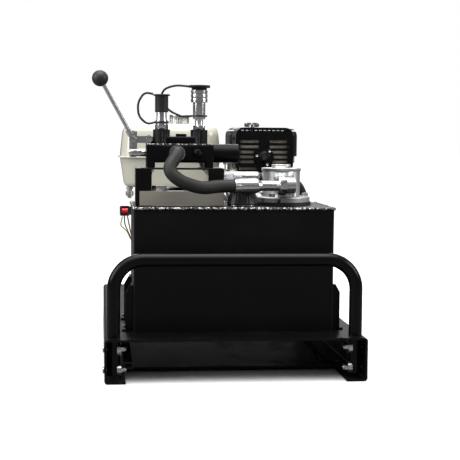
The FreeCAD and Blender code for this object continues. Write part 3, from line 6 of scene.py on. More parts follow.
import bmesh
import bpy
from mathutils import Euler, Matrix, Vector

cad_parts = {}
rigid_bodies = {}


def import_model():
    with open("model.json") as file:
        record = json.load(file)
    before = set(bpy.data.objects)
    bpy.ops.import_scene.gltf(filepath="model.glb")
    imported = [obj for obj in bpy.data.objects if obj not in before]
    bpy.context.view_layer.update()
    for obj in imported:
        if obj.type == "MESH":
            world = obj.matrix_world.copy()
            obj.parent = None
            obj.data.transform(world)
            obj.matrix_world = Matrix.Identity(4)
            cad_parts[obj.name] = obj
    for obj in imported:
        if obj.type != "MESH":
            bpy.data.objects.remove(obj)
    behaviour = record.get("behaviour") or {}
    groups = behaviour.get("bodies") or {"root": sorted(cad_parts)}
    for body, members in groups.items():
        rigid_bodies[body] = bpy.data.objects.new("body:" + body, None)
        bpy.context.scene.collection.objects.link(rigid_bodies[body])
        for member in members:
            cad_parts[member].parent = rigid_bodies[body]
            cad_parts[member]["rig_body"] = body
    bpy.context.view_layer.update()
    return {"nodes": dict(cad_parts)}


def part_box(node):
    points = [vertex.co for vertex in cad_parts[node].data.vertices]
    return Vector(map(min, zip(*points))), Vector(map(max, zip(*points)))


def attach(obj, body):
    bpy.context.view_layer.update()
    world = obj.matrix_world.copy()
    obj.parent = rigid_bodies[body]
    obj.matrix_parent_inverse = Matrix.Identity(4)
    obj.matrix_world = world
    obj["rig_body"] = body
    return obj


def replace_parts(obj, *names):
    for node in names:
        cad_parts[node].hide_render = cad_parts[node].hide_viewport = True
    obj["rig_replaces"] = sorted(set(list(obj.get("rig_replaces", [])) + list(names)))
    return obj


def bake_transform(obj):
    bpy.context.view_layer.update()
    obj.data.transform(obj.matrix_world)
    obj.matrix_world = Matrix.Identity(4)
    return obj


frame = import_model()

bl_info = {
    "name": "Hydraulic power unit",
    "version": (1, 0, 0),
    "blender": (4, 5, 0),
    "location": "View3D > Sidebar > Power unit",
    "description": "Finishes and fine pieces of a skid-mounted hydraulic power unit",
    "category": "Object",
}


# ------------------------------------------------------------------ sizes and colours
class UnitSizes(bpy.types.PropertyGroup):
    """Sizes that a user would change."""
    weld_radius: bpy.props.FloatProperty(
        name="Weld radius", description="Half the height of a weld bead", default=0.0034, unit="LENGTH")
    weld_pitch: bpy.props.FloatProperty(
        name="Weld pitch", description="Distance between the ripples of a weld", default=0.0026, unit="LENGTH")
    edge_round: bpy.props.FloatProperty(
        name="Edge rounding", description="Rounding of sheared and machined edges", default=0.0006,
        unit="LENGTH")
    rope_radius: bpy.props.FloatProperty(
        name="Starter rope radius", description="Half the starter rope's thickness", default=0.0022,
        unit="LENGTH")


class UnitColours(bpy.types.PropertyGroup):
    """Colours that a user would change."""
    paint: bpy.props.FloatVectorProperty(
        name="Paint", description="Skid and reservoir paint", default=(0.0028, 0.0028, 0.0032), subtype="COLOR")
    tank: bpy.props.FloatVectorProperty(
        name="Fuel tank", description="Fuel tank enamel", default=(0.66, 0.645, 0.54), subtype="COLOR")
    hose: bpy.props.FloatVectorProperty(
        name="Hose", description="Hose cover rubber", default=(0.020, 0.020, 0.018), subtype="COLOR")
    bar: bpy.props.FloatVectorProperty(
        name="Front bar", description="Bare bar on the valve stand", default=(0.36, 0.34, 0.29),
        subtype="COLOR")
    switch: bpy.props.FloatVectorProperty(
        name="Switch", description="Engine switch rocker", default=(0.60, 0.02, 0.02), subtype="COLOR")


# ------------------------------------------------------------------ shader maths
class Value:
    """A shader socket that can be used in Python arithmetic."""

    def __init__(self, finish, socket):
        self.finish = finish
        self.socket = socket

    def maths(self, operation, first, second):
        return self.finish.node("ShaderNodeMath", {"operation": operation}, {0: first, 1: second})

    def __add__(self, other):
        return self.maths("ADD", self, other)

    def __sub__(self, other):
        return self.maths("SUBTRACT", self, other)

    def __mul__(self, other):
        return self.maths("MULTIPLY", self, other)

    def __radd__(self, other):
        return self.maths("ADD", other, self)

    def __rsub__(self, other):
        return self.maths("SUBTRACT", other, self)

    def __rmul__(self, other):
        return self.maths("MULTIPLY", other, self)


class Finish:
    """A material under construction."""

    def __init__(self, name):
        self.material = bpy.data.materials.new(name)
        self.material.use_nodes = True
        self.tree = self.material.node_tree
        self.shader = self.tree.nodes["Principled BSDF"]
        self.place = self.node("ShaderNodeTexCoord", output="Object")

    def node(self, kind, settings=None, values=None, output=0):
        made = self.tree.nodes.new(kind)
        for key, setting in (settings or {}).items():
            setattr(made, key, setting)
        for key, value in (values or {}).items():
            if isinstance(value, Value):
                self.tree.links.new(value.socket, made.inputs[key])
            else:
                made.inputs[key].default_value = value
        return Value(self, made.outputs[output])

    def noise(self, scale, detail=4.0, roughness=0.55, stretch=(1, 1, 1)):
        """Noise from about 0 to 1, its features about 1 / scale metres across."""
        moved = self.node("ShaderNodeMapping", None, {"Vector": self.place, "Scale": stretch})
        return self.node("ShaderNodeTexNoise", None,
                         {"Vector": moved, "Scale": scale, "Detail": detail, "Roughness": roughness})

    def cells(self, scale):
        """Distance to the nearest of scattered points."""
        return self.node("ShaderNodeTexVoronoi", None, {"Vector": self.place, "Scale": scale},
                         output="Distance")

    def step(self, value, low, high, first=0.0, second=1.0):
        """A smooth step from one value to another."""
        return self.node("ShaderNodeMapRange", {"interpolation_type": "SMOOTHSTEP"},
                         {"Value": value, "From Min": low, "From Max": high, "To Min": first, "To Max": second})

    def mix(self, factor, first, second):
        """A colour between two colours."""
        ends = [(*colour, 1.0) if isinstance(colour, (tuple, list)) and len(colour) == 3 else colour
                for colour in (first, second)]
        return self.node("ShaderNodeMix", {"data_type": "RGBA"}, {0: factor, 6: ends[0], 7: ends[1]}, output=2)

    def bump(self, height, distance):
        """Raises the surface by height times distance metres."""
        self.set(Normal=self.node("ShaderNodeBump", None,
                                  {"Height": height, "Distance": distance, "Strength": 1.0}))

    def set(self, **values):
        """Sets or links the shader's inputs, named with _ for each space."""
        for key, value in values.items():
            socket = self.shader.inputs[key.replace("_", " ")]
            if isinstance(value, Value):
                self.tree.links.new(value.socket, socket)
            elif isinstance(value, (tuple, list)):
                socket.default_value = (*value, 1.0)[:4]
            else:
                socket.default_value = value


def colour(value, factor=1.0):
    """A plain colour tuple, made lighter or darker."""
    return tuple(min(1.0, channel * factor) for channel in value)


# ------------------------------------------------------------------ finishes
def paint_finish(name, base, texture, gloss, chips=0.0):
    """Sprayed enamel or powder coat: orange peel, dull patches, dust on it and chips down to the steel."""
    look = Finish(name)
    dust = look.step(look.noise(9.0, 6.0, 0.65), 0.46, 0.78)
    speck = look.step(look.noise(1400.0, 2.0), 0.70, 0.80)
    tone = look.mix(dust * 0.35, base, colour(base, 2.2))
    worn = look.step(look.noise(34.0, 4.0, 0.6), 0.80 - chips, 0.82 - chips)
    look.set(Base_Color=look.mix(worn, look.mix(speck * 0.5, tone, colour(base, 4.0)), (0.30, 0.29, 0.28)))
    look.set(Roughness=gloss + 0.16 * dust + 0.10 * look.noise(60.0), Specular_IOR_Level=0.17)
    look.bump(look.noise(texture, 3.0) + 0.25 * look.noise(70.0, 2.0), 0.00012)
    return look.material


def casting_finish(name, base, metal, rough, shine=0.5):
    """Sand-cast metal: grainy skin with softened, slightly stained tone."""
    look = Finish(name)
    look.set(Specular_IOR_Level=shine)
    stain = look.step(look.noise(14.0, 6.0, 0.6), 0.35, 0.75)
    look.set(Base_Color=look.mix(stain, base, colour(base, 0.62)), Metallic=metal)
    look.set(Roughness=rough + 0.18 * look.noise(90.0))
    grain = look.noise(520.0, 4.0, 0.7)
    look.bump(grain + 0.6 * look.cells(330.0), 0.00018)
    return look.material


def weld_finish(name, base):
    """A painted weld run: glossy and lumpy, with bright metallic spots scattered on it as painted glints."""
    look = Finish(name)
    # Painted glints: bright metallic spots mixed into the bead's colour where the noise is high.
    painted_glints = look.step(look.noise(210.0, 3.0, 0.6), 0.50, 0.56)
    look.set(Base_Color=look.mix(painted_glints, colour(base, 1.5), (0.62, 0.61, 0.59)), Metallic=0.9 * painted_glints)
    look.set(Roughness=0.16 + 0.14 * look.noise(90.0))
    look.bump(look.noise(380.0, 3.0), 0.0004)
    return look.material


def plated_finish(name, base, rough, tint):
    """Zinc or nickel plate: bright, faintly clouded, with turning marks and handling scratches."""
    look = Finish(name)
    cloud = look.step(look.noise(55.0, 5.0), 0.35, 0.7)
    look.set(Base_Color=look.mix(cloud, base, tint), Metallic=1.0)
    scratch = look.step(look.noise(90.0, 3.0, 0.6, (1, 1, 6)), 0.55, 0.72)
    look.set(Roughness=rough + 0.10 * cloud + 0.10 * scratch)
    look.bump(look.noise(60.0, 2.0), 0.00002)
    return look.material


def bare_plate_finish(name, base):
    """Rolled bare plate with long streaks and light rust bloom."""
    look = Finish(name)
    streak = look.noise(26.0, 7.0, 0.65, (1, 1, 14))
    bloom = look.step(look.noise(38.0, 7.0, 0.7), 0.55, 0.75)
    tone = look.mix(streak, colour(base, 0.82), colour(base, 1.18))
    look.set(Base_Color=look.mix(bloom * 0.35, tone, (0.36, 0.30, 0.21)), Metallic=0.25)
    look.set(Roughness=0.42 + 0.22 * streak)
    look.bump(streak + 0.4 * look.noise(600.0), 0.00012)
    return look.material


def rubber_finish(name, base, weave):
    """Moulded rubber, wrapped in cloth when it was cured."""
    look = Finish(name)
    bloom = look.step(look.noise(24.0, 6.0, 0.6), 0.4, 0.8)
    look.set(Base_Color=look.mix(bloom, base, colour(base, 1.5)))
    look.set(Roughness=0.48 + 0.16 * bloom)
    look.set(Specular_IOR_Level=0.35)
    rib = look.node("ShaderNodeTexWave", {"bands_direction": "DIAGONAL"},
                    {"Vector": look.place, "Scale": weave, "Distortion": 1.5, "Detail": 2.0}, output="Fac")
    look.bump(0.7 * rib + look.noise(700.0, 3.0), 0.00016)
    return look.material


def plastic_finish(name, base, rough, grain):
    """Moulded plastic with a fine spark-eroded grain."""
    look = Finish(name)
    haze = look.step(look.noise(20.0, 5.0), 0.4, 0.8)
    look.set(Base_Color=look.mix(haze * 0.5, base, colour(base, 1.9)))
    look.set(Roughness=rough + 0.12 * haze)
    look.bump(look.noise(grain, 2.0), 0.00001)
    return look.material


def enamel_finish(name, base):
    """Glossy stoved enamel with a little road dirt in it."""
    look = Finish(name)
    dirt = look.step(look.noise(30.0, 8.0, 0.7), 0.58, 0.80)
    tone = look.mix(look.noise(6.0, 3.0), colour(base, 0.95), colour(base, 1.03))
    look.set(Base_Color=look.mix(dirt * 0.16, tone, (0.34, 0.30, 0.22)))
    look.set(Roughness=0.20 + 0.16 * dirt)
    look.set(Coat_Weight=0.5)
    look.set(Coat_Roughness=0.08)
    look.bump(look.noise(90.0, 2.0), 0.00003)
    return look.material


def heated_steel_finish(name):
    """Muffler steel, browned and blued by heat."""
    look = Finish(name)
    heat = look.noise(22.0, 6.0, 0.6)
    straw = look.mix(look.step(heat, 0.35, 0.55), (0.60, 0.56, 0.50), (0.42, 0.35, 0.28))
    look.set(Base_Color=look.mix(look.step(heat, 0.55, 0.75), straw, (0.30, 0.28, 0.27)), Metallic=0.6)
    look.set(Roughness=0.40 + 0.25 * look.noise(150.0))
    look.bump(look.noise(400.0, 3.0), 0.00012)
    return look.material


def paper_finish(name):
    """Resin-treated filter paper, pleated, with painted shade darkening the pleat folds."""
    look = Finish(name)
    pleat = look.node("ShaderNodeTexWave", {"bands_direction": "X"}, {"Vector": look.place, "Scale": 90.0},
                      output="Fac")
    # Painted shade: the colour runs darker in the pleat valleys and lighter on the crests.
    look.set(Base_Color=look.mix(pleat, (0.50, 0.42, 0.25), (0.74, 0.67, 0.46)))
    look.set(Roughness=0.75 + 0.1 * look.noise(300.0))
    look.bump(pleat + 0.2 * look.noise(900.0), 0.0006)
    return look.material


def all_finishes(colours):
    """Every finish of the unit, by name."""
    paint = tuple(colours.paint)
    hose = tuple(colours.hose)
    return {
        "satin paint": paint_finish("satin_paint", paint, 420.0, 0.26, 0.04),
        "tube paint": paint_finish("tube_paint", paint, 500.0, 0.14, 0.02),
        "textured paint": paint_finish("textured_paint", paint, 260.0, 0.34),
        "painted casting": casting_finish("painted_casting", paint, 0.0, 0.30, 0.14),
        "weld": weld_finish("painted_weld", paint),
        "zinc": plated_finish("zinc_plate", (0.68, 0.68, 0.69), 0.18, (0.52, 0.52, 0.54)),
        "machined": plated_finish("machined_steel", (0.56, 0.56, 0.57), 0.24, (0.44, 0.44, 0.45)),
        "aluminium": casting_finish("cast_aluminium", (0.60, 0.60, 0.60), 0.85, 0.30),
        "iron": casting_finish("cast_iron", (0.11, 0.11, 0.11), 0.6, 0.45),
        "bare plate": bare_plate_finish("bare_plate", tuple(colours.bar)),
        "hose": rubber_finish("hose_rubber", hose, 240.0),
        "soft black": plastic_finish("soft_black", (0.014, 0.014, 0.014), 0.42, 520.0),
        "seal": plastic_finish("seal_rubber", (0.012, 0.012, 0.012), 0.55, 700.0),
        "grained black": plastic_finish("grained_black", (0.017, 0.017, 0.018), 0.38, 640.0),
        "gloss black": plastic_finish("gloss_black", (0.008, 0.008, 0.009), 0.10, 300.0),
        "knob": plastic_finish("matt_knob", (0.014, 0.018, 0.016), 0.50, 420.0),
        "cream": enamel_finish("cream_enamel", tuple(colours.tank)),
        "red": plastic_finish("red_plastic", tuple(colours.switch), 0.22, 500.0),
        "yellow": plastic_finish("yellow_insulation", (0.72, 0.55, 0.05), 0.30, 500.0),
        "dark red": plastic_finish("dark_red_insulation", (0.22, 0.02, 0.03), 0.30, 500.0),
        "heated steel": heated_steel_finish("heated_steel"),
        "rope": rubber_finish("braided_rope", (0.035, 0.035, 0.034), 900.0),
        "paper": paper_finish("filter_paper"),
    }


FINISH = {}

NODE_FINISH = {
    "satin paint": ("skid_tray", "belly_pan", "deck_brackets", "valve_stand", "fan_cover", "muffler_shield"),
    "tube paint": ("carry_handle",),
    "textured paint": ("reservoir_shell",),
    "painted casting": ("valve_body", "spring_cap", "port_plugs"),
    "zinc": ("skid_bolts", "reservoir_screws", "valve_spool", "lever_links", "lever_arm", "couplers",
             "female_sleeve", "return_fittings", "pump_line_fittings", "fuel_cap", "wing_nut", "engine_bolts",
             "throttle_lever"),
    "machined": ("filler_neck", "filter_bowl", "centring_spring", "pump_drive_gear", "pump_driven_gear",
                 "crankshaft"),
    "aluminium": ("filter_head", "filter_lid", "pump_body", "bell_housing", "engine_block", "side_cover",
                  "cylinder_head", "carburettor"),
    "iron": ("shaft_coupling", "flywheel_fan"),
    "bare plate": ("stand_bar",),
    "hose": ("return_hose", "pressure_hose", "suction_hose"),
    "soft black": ("male_dust_cap", "male_strap", "female_dust_plug", "female_strap"),
    "seal": ("filter_gasket",),
    "grained black": ("filler_cap", "recoil_grip", "switch_housing", "oil_fill_cap"),
    "gloss black": ("air_cleaner_cover",),
    "knob": ("lever_knob",),
    "cream": ("fuel_tank",),
    "red": ("switch_rocker",),
    "yellow": ("switch_leads",),
    "heated steel": ("muffler",),
    "paper": ("filter_element",),
}


# ------------------------------------------------------------------ modelling helpers
MERGE = 0.000005                    # corners of a CAD mesh that are one corner
SMOOTH_ANGLE = math.radians(32)     # sharper edges of a CAD mesh stay edges
SHARP_ANGLE = math.radians(50)      # edges that are rounded


def deselect():
    bpy.ops.object.select_all(action="DESELECT")


def make_active(obj):
    deselect()
    obj.hide_set(False)
    obj.select_set(True)
    bpy.context.view_layer.objects.active = obj


def finish_piece(obj, name, finish, body="frame"):
    """Names a piece, gives it its finish and lets it ride on a body."""
    obj.name = name
    obj.data.name = name
    obj.data.materials.clear()
    obj.data.materials.append(FINISH[finish])
    make_active(obj)
    bpy.ops.object.transform_apply(location=True, rotation=True, scale=True)
    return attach(obj, body)


def apply_modifiers(obj):
    make_active(obj)
    for modifier in list(obj.modifiers):
        bpy.ops.object.modifier_apply(modifier=modifier.name)


def smooth_copy(node, finish, edge=0.0):
    """A merged copy of a CAD node with rounded edges and smooth shading, which stands for it."""
    source = frame["nodes"][node]
    copy = source.copy()
    copy.data = source.data.copy()
    copy.parent = None
    for key in list(copy.keys()):
        del copy[key]
    bpy.context.scene.collection.objects.link(copy)
    make_active(copy)
    bpy.ops.object.mode_set(mode="EDIT")
    bpy.ops.mesh.select_all(action="SELECT")
    bpy.ops.mesh.remove_doubles(threshold=MERGE)
    bpy.ops.object.mode_set(mode="OBJECT")
    if edge:
        bevel = copy.modifiers.new("edge", "BEVEL")
        bevel.width = edge
        bevel.segments = 2
        bevel.limit_method = "ANGLE"
        bevel.angle_limit = SHARP_ANGLE
        apply_modifiers(copy)
    bpy.ops.object.shade_smooth_by_angle(angle=SMOOTH_ANGLE)
    even = copy.modifiers.new("even", "WEIGHTED_NORMAL")
    even.mode = "FACE_AREA_WITH_ANGLE"
    even.weight = 50
    even.keep_sharp = True
    apply_modifiers(copy)
    finish_piece(copy, node + "_finished", finish, source["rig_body"])
    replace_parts(copy, node)
    return copy


def outline_at(node, axis, level):
    """The box round the part of a CAD node that lies at one level along an axis."""
    close = 0.0008
    flat = [v.co for v in frame["nodes"][node].data.vertices if abs(v.co[axis] - level) < close]
    low = Vector([min(v[k] for v in flat) for k in range(3)])
    high = Vector([max(v[k] for v in flat) for k in range(3)])
    return low, high


def grow(scale, lift):
    """Extrudes the selected face up or down and resizes it about its middle."""
    bpy.ops.mesh.extrude_region_move(TRANSFORM_OT_translate={"value": (0, 0, lift)})
    bpy.ops.transform.resize(value=(scale[0], scale[1], 1))


def bead(name, start, end, radius, pitch, finish):
    """A weld run between two points: one slanted ripple, repeated and roughened."""
    run = end - start
    deselect()
    bpy.ops.mesh.primitive_uv_sphere_add(segments=10, ring_count=7, radius=1.0, location=(0, 0, 0))
    ripple = bpy.context.object
    bpy.ops.object.mode_set(mode="EDIT")
    bpy.ops.mesh.select_all(action="SELECT")
    bpy.ops.transform.resize(value=(pitch, radius, radius))
    bpy.ops.transform.rotate(value=math.radians(24), orient_axis="Y", center_override=(0, 0, 0))
    bpy.ops.object.mode_set(mode="OBJECT")
    repeat = ripple.modifiers.new("run", "ARRAY")
    repeat.use_relative_offset = False
    repeat.use_constant_offset = True
    repeat.constant_offset_displace = (pitch, 0, 0)
    repeat.count = int(run.length / pitch) + 1
    apply_modifiers(ripple)
    ripple.rotation_euler = run.to_track_quat("X", "Z").to_euler()
    ripple.location = start
    make_active(ripple)
    bpy.ops.object.transform_apply(location=True, rotation=True, scale=True)
    rough = bpy.data.textures.new(name, "CLOUDS")
    rough.noise_scale = pitch * 3
    push = ripple.modifiers.new("rough", "DISPLACE")
    push.texture = rough
    push.strength = radius * 0.9
    push.mid_level = 0.5
    apply_modifiers(ripple)
    bpy.ops.object.shade_smooth()
    finish_piece(ripple, name, finish)
    return ripple


def cable(name, points, radius, finish):
    """A round flexible lead through points."""
    data = bpy.data.curves.new(name, "CURVE")
    data.dimensions = "3D"
    data.bevel_depth = radius
    data.bevel_resolution = 3
    data.use_fill_caps = True
    spline = data.splines.new("BEZIER")
    spline.bezier_points.add(len(points) - 1)
    for knot, point in zip(spline.bezier_points, points):
        knot.co = point
        knot.handle_left_type = "AUTO"
        knot.handle_right_type = "AUTO"
    obj = bpy.data.objects.new(name, data)
    bpy.context.scene.collection.objects.link(obj)
    make_active(obj)
    bpy.ops.object.convert(target="MESH")
    obj = bpy.context.object
    bpy.ops.object.shade_smooth()
    finish_piece(obj, name, finish)
    return obj


def cad_finish_of(node):
    """The name of the finish that a CAD node takes."""
    for finish, nodes in NODE_FINISH.items():
        if node in nodes:
            return finish
    raise ValueError("no finish for " + node)


def studio_world():
    """A white surround that lights the unit only dimly, more from above than from the sides."""
    world = bpy.data.worlds.new("studio")
    world.use_nodes = True
    tree = world.node_tree
    output = tree.nodes["World Output"]
    seen = tree.nodes["Background"]
    seen.inputs["Color"].default_value = (1.0, 1.0, 1.0, 1.0)
    seen.inputs["Strength"].default_value = 1.0
    dim = tree.nodes.new("ShaderNodeBackground")
    place = tree.nodes.new("ShaderNodeTexCoord")
    split = tree.nodes.new("ShaderNodeSeparateXYZ")
    rise = tree.nodes.new("ShaderNodeMapRange")
    rise.inputs["From Min"].default_value = -0.1
    rise.inputs["To Min"].default_value = 0.10
    rise.inputs["To Max"].default_value = 0.62
    tree.links.new(place.outputs["Generated"], split.inputs[0])
    tree.links.new(split.outputs["Z"], rise.inputs["Value"])
    tree.links.new(rise.outputs["Result"], dim.inputs["Strength"])
    path = tree.nodes.new("ShaderNodeLightPath")
    choose = tree.nodes.new("ShaderNodeMixShader")
    tree.links.new(path.outputs["Is Camera Ray"], choose.inputs[0])
    tree.links.new(dim.outputs[0], choose.inputs[1])
    tree.links.new(seen.outputs[0], choose.inputs[2])
    tree.links.new(choose.outputs[0], output.inputs["Surface"])
    return world


# ------------------------------------------------------------------ operators
class UNIT_OT_stage(bpy.types.Operator):
    """Floor, studio lights and the camera"""
    bl_idname = "unit.stage"
    bl_label = "Stage"

    def execute(self, context):
        scene = context.scene
        deselect()
        bpy.ops.mesh.primitive_plane_add(size=60.0, location=(0, 0, 0))
        floor = context.object
        floor.name = "floor"
        look = Finish("studio_floor")
        seen = look.node("ShaderNodeLightPath", output="Is Camera Ray")
        look.set(Base_Color=look.mix(seen, (0.16, 0.16, 0.16), (0.96, 0.96, 0.96)))
        look.set(Roughness=0.75)
        floor.data.materials.append(look.material)
        scene.world = studio_world()
        lights = (
            ("left_softbox", (-2.6, -0.9, 1.5), (66, 0, -70), 1.5, 42.0),
            ("right_softbox", (2.5, -1.1, 1.4), (66, 0, 66), 1.2, 26.0),
            ("back_softbox", (0.2, 2.6, 2.2), (-54, 0, 0), 2.0, 40.0),
            ("top_softbox", (0.0, -0.5, 2.4), (8, 0, 0), 1.6, 22.0),
        )
        for name, place, turn, size, power in lights:
            data = bpy.data.lights.new(name, "AREA")
            data.size = size
            data.energy = power
            lamp = bpy.data.objects.new(name, data)
            lamp.location = place
            lamp.rotation_euler = Euler([math.radians(a) for a in turn])
            scene.collection.objects.link(lamp)
        data = bpy.data.lights.new("ceiling", "SUN")
        data.energy = 2.7
        data.angle = math.radians(70)
        lamp = bpy.data.objects.new("ceiling", data)
        lamp.location = (0.0, 0.0, 4.0)
        lamp.rotation_euler = Euler((math.radians(8), math.radians(-6), 0.0))
        scene.collection.objects.link(lamp)
        data = bpy.data.cameras.new("camera")
        data.sensor_width = 36.0
        data.lens = 92.8
        data.clip_end = 40.0
        camera = bpy.data.objects.new("camera", data)
        camera.location = (-0.3008, -3.0524, 0.5444)
        yaw, pitch, roll = math.radians(6.26), math.radians(4.56), math.radians(0.52)
        aim = Vector((math.sin(yaw) * math.cos(pitch), math.cos(yaw) * math.cos(pitch), -math.sin(pitch)))
        turn = aim.to_track_quat("-Z", "Y")
        camera.rotation_mode = "QUATERNION"
        camera.rotation_quaternion = turn @ Euler((0, 0, roll)).to_quaternion()
        scene.collection.objects.link(camera)
        scene.camera = camera
        scene.view_settings.view_transform = "Standard"
        return {"FINISHED"}


class UNIT_OT_finishes(bpy.types.Operator):
    """Finishes on every node of the frame"""
    bl_idname = "unit.finishes"
    bl_label = "Finishes"

    def execute(self, context):
        FINISH.update(all_finishes(context.scene.unit_colours))
        for finish, nodes in NODE_FINISH.items():
            for node in nodes:
                data = frame["nodes"][node].data
                data.materials.clear()
                data.materials.append(FINISH[finish])
        return {"FINISHED"}


SHARP_NODES = ("stand_bar", "valve_stand", "reservoir_shell", "deck_brackets", "skid_tray", "belly_pan")


def smooth_skins(context, nodes):
    """Smooth-shaded skins over CAD nodes, their sheared edges rounded."""
    edge = context.scene.unit_sizes.edge_round
    for node in nodes:
        smooth_copy(node, cad_finish_of(node), edge if node in SHARP_NODES else 0.0)
    return {"FINISHED"}


class UNIT_OT_skid(bpy.types.Operator):
    """The skid's tray, pan, handle and bolts"""
    bl_idname = "unit.skid"
    bl_label = "Skid"

    def execute(self, context):
        return smooth_skins(context, ("skid_tray", "belly_pan", "carry_handle", "skid_bolts"))


class UNIT_OT_reservoir(bpy.types.Operator):
    """The oil reservoir, its hold-downs, screws, plugs and filler"""
    bl_idname = "unit.reservoir"
    bl_label = "Reservoir"

    def execute(self, context):
        return smooth_skins(context, ("reservoir_shell", "deck_brackets", "reservoir_screws",
                                      "port_plugs", "filler_neck", "filler_cap"))


class UNIT_OT_filter(bpy.types.Operator):
    """The tank-top return filter"""
    bl_idname = "unit.filter"
    bl_label = "Return filter"

    def execute(self, context):
        return smooth_skins(context, ("filter_head", "filter_lid", "filter_element", "filter_bowl",
                                      "filter_gasket"))


class UNIT_OT_valve(bpy.types.Operator):
    """The hand valve, its stand, spool and lever"""
    bl_idname = "unit.valve"
    bl_label = "Control valve"

    def execute(self, context):
        return smooth_skins(context, ("valve_stand", "stand_bar", "valve_body", "valve_spool",
                                      "spring_cap", "centring_spring", "lever_links", "lever_arm",
                                      "lever_knob"))


class UNIT_OT_couplers(bpy.types.Operator):
    """The quick couplers with their caps and straps"""
    bl_idname = "unit.couplers"
    bl_label = "Couplers"

    def execute(self, context):
        return smooth_skins(context, ("couplers", "female_sleeve", "male_dust_cap", "male_strap",
                                      "female_dust_plug", "female_strap"))


class UNIT_OT_lines(bpy.types.Operator):
    """The hoses and their fittings"""
    bl_idname = "unit.lines"
    bl_label = "Hoses"

    def execute(self, context):
        return smooth_skins(context, ("return_hose", "return_fittings", "pressure_hose", "suction_hose",
                                      "pump_line_fittings"))


class UNIT_OT_pump(bpy.types.Operator):
    """The gear pump, bell housing and coupling"""
    bl_idname = "unit.pump"
    bl_label = "Pump and drive"

    def execute(self, context):
        return smooth_skins(context, ("pump_body", "pump_drive_gear", "pump_driven_gear", "bell_housing",
                                      "shaft_coupling"))


class UNIT_OT_engine(bpy.types.Operator):
    """The petrol engine apart from its tank"""
    bl_idname = "unit.engine"
    bl_label = "Engine"

    def execute(self, context):
        return smooth_skins(context, ("engine_block", "side_cover", "cylinder_head", "crankshaft",
                                      "flywheel_fan", "fan_cover", "recoil_grip", "fuel_cap",
                                      "carburettor", "engine_bolts", "oil_fill_cap", "throttle_lever"))


class UNIT_OT_muffler(bpy.types.Operator):
    """The muffler, its shield, and the air cleaner's cover and nut"""
    bl_idname = "unit.muffler"
    bl_label = "Muffler and air cleaner"

    def execute(self, context):
        return smooth_skins(context, ("muffler", "muffler_shield", "air_cleaner_cover", "wing_nut"))


class UNIT_OT_switch(bpy.types.Operator):
    """The engine switch"""
    bl_idname = "unit.switch"
    bl_label = "Engine switch"

    def execute(self, context):
        return smooth_skins(context, ("switch_housing", "switch_rocker"))


class UNIT_OT_welds(bpy.types.Operator):
    """Weld runs round the reservoir's top plate, and the valve casting's seam"""
    bl_idname = "unit.welds"
    bl_label = "Welds"

    def execute(self, context):
        sizes = context.scene.unit_sizes
        low, high = outline_at("reservoir_shell", 2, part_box("reservoir_shell")[1].z)
        z = high.z - sizes.weld_radius * 0.4
        corners = [Vector((low.x, low.y, z)), Vector((high.x, low.y, z)), Vector((high.x, high.y, z)),
                   Vector((low.x, high.y, z))]
        for name, first, second in (("front", 0, 1), ("right", 1, 2), ("rear", 2, 3), ("left", 3, 0)):
            bead("weld_" + name, corners[first], corners[second], sizes.weld_radius, sizes.weld_pitch, "weld")
        low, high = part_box("valve_body")
        rounded = 0.0016
        port_proud = 0.008
        seam = Vector((low.x + 0.002, low.y + port_proud + rounded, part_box("spring_cap")[1].z - rounded))
        seam_radius = 0.0015
        seam_pitch = 0.0030
        # The seam takes the weld finish, so its bright spots are painted glints.
        bead("casting_seam", seam, Vector((high.x - 0.002, seam.y, seam.z)), seam_radius, seam_pitch, "weld")
        return {"FINISHED"}


class UNIT_OT_leads(bpy.types.Operator):
    """The switch's three leads, each in its own colour, and the spark plug's lead"""
    bl_idname = "unit.leads"
    bl_label = "Leads"

    def execute(self, context):
        whole = smooth_copy("switch_leads", "yellow")
        make_active(whole)
        bpy.ops.object.mode_set(mode="EDIT")
        bpy.ops.mesh.select_all(action="SELECT")
        bpy.ops.mesh.separate(type="LOOSE")
        bpy.ops.object.mode_set(mode="OBJECT")
        parts = sorted(context.selected_objects, key=lambda part: min(v.co.x for v in part.data.vertices))
        for part, name, finish in zip(parts, ("yellow", "black", "red"), ("yellow", "gloss black", "dark red")):
            if "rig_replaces" in part:
                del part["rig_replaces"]
            finish_piece(part, "switch_lead_" + name, finish)
        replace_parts(parts[0], "switch_leads")
        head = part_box("cylinder_head")
        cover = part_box("fan_cover")
        middle = (head[0] + head[1]) / 2
        plug = Vector((head[1].x - 0.004, middle.y, middle.z + 0.004))
        cylinder_tilt = math.radians(25)
        boot_radius = 0.0085
        lead_radius = 0.0035
        out = Vector((math.cos(cylinder_tilt), 0, math.sin(cylinder_tilt)))
        cable("spark_plug_boot", [plug - out * 0.006, plug + out * 0.02, plug + out * 0.034], boot_radius,
              "soft black")
        cable("spark_plug_lead", [plug + out * 0.032, plug + out * 0.045 + Vector((0, 0.025, -0.004)),
                                  plug + Vector((0.0, 0.075, -0.02)),
                                  Vector((cover[1].x - 0.012, cover[0].y + 0.02, plug.z - 0.03))],
              lead_radius, "soft black")
        return {"FINISHED"}


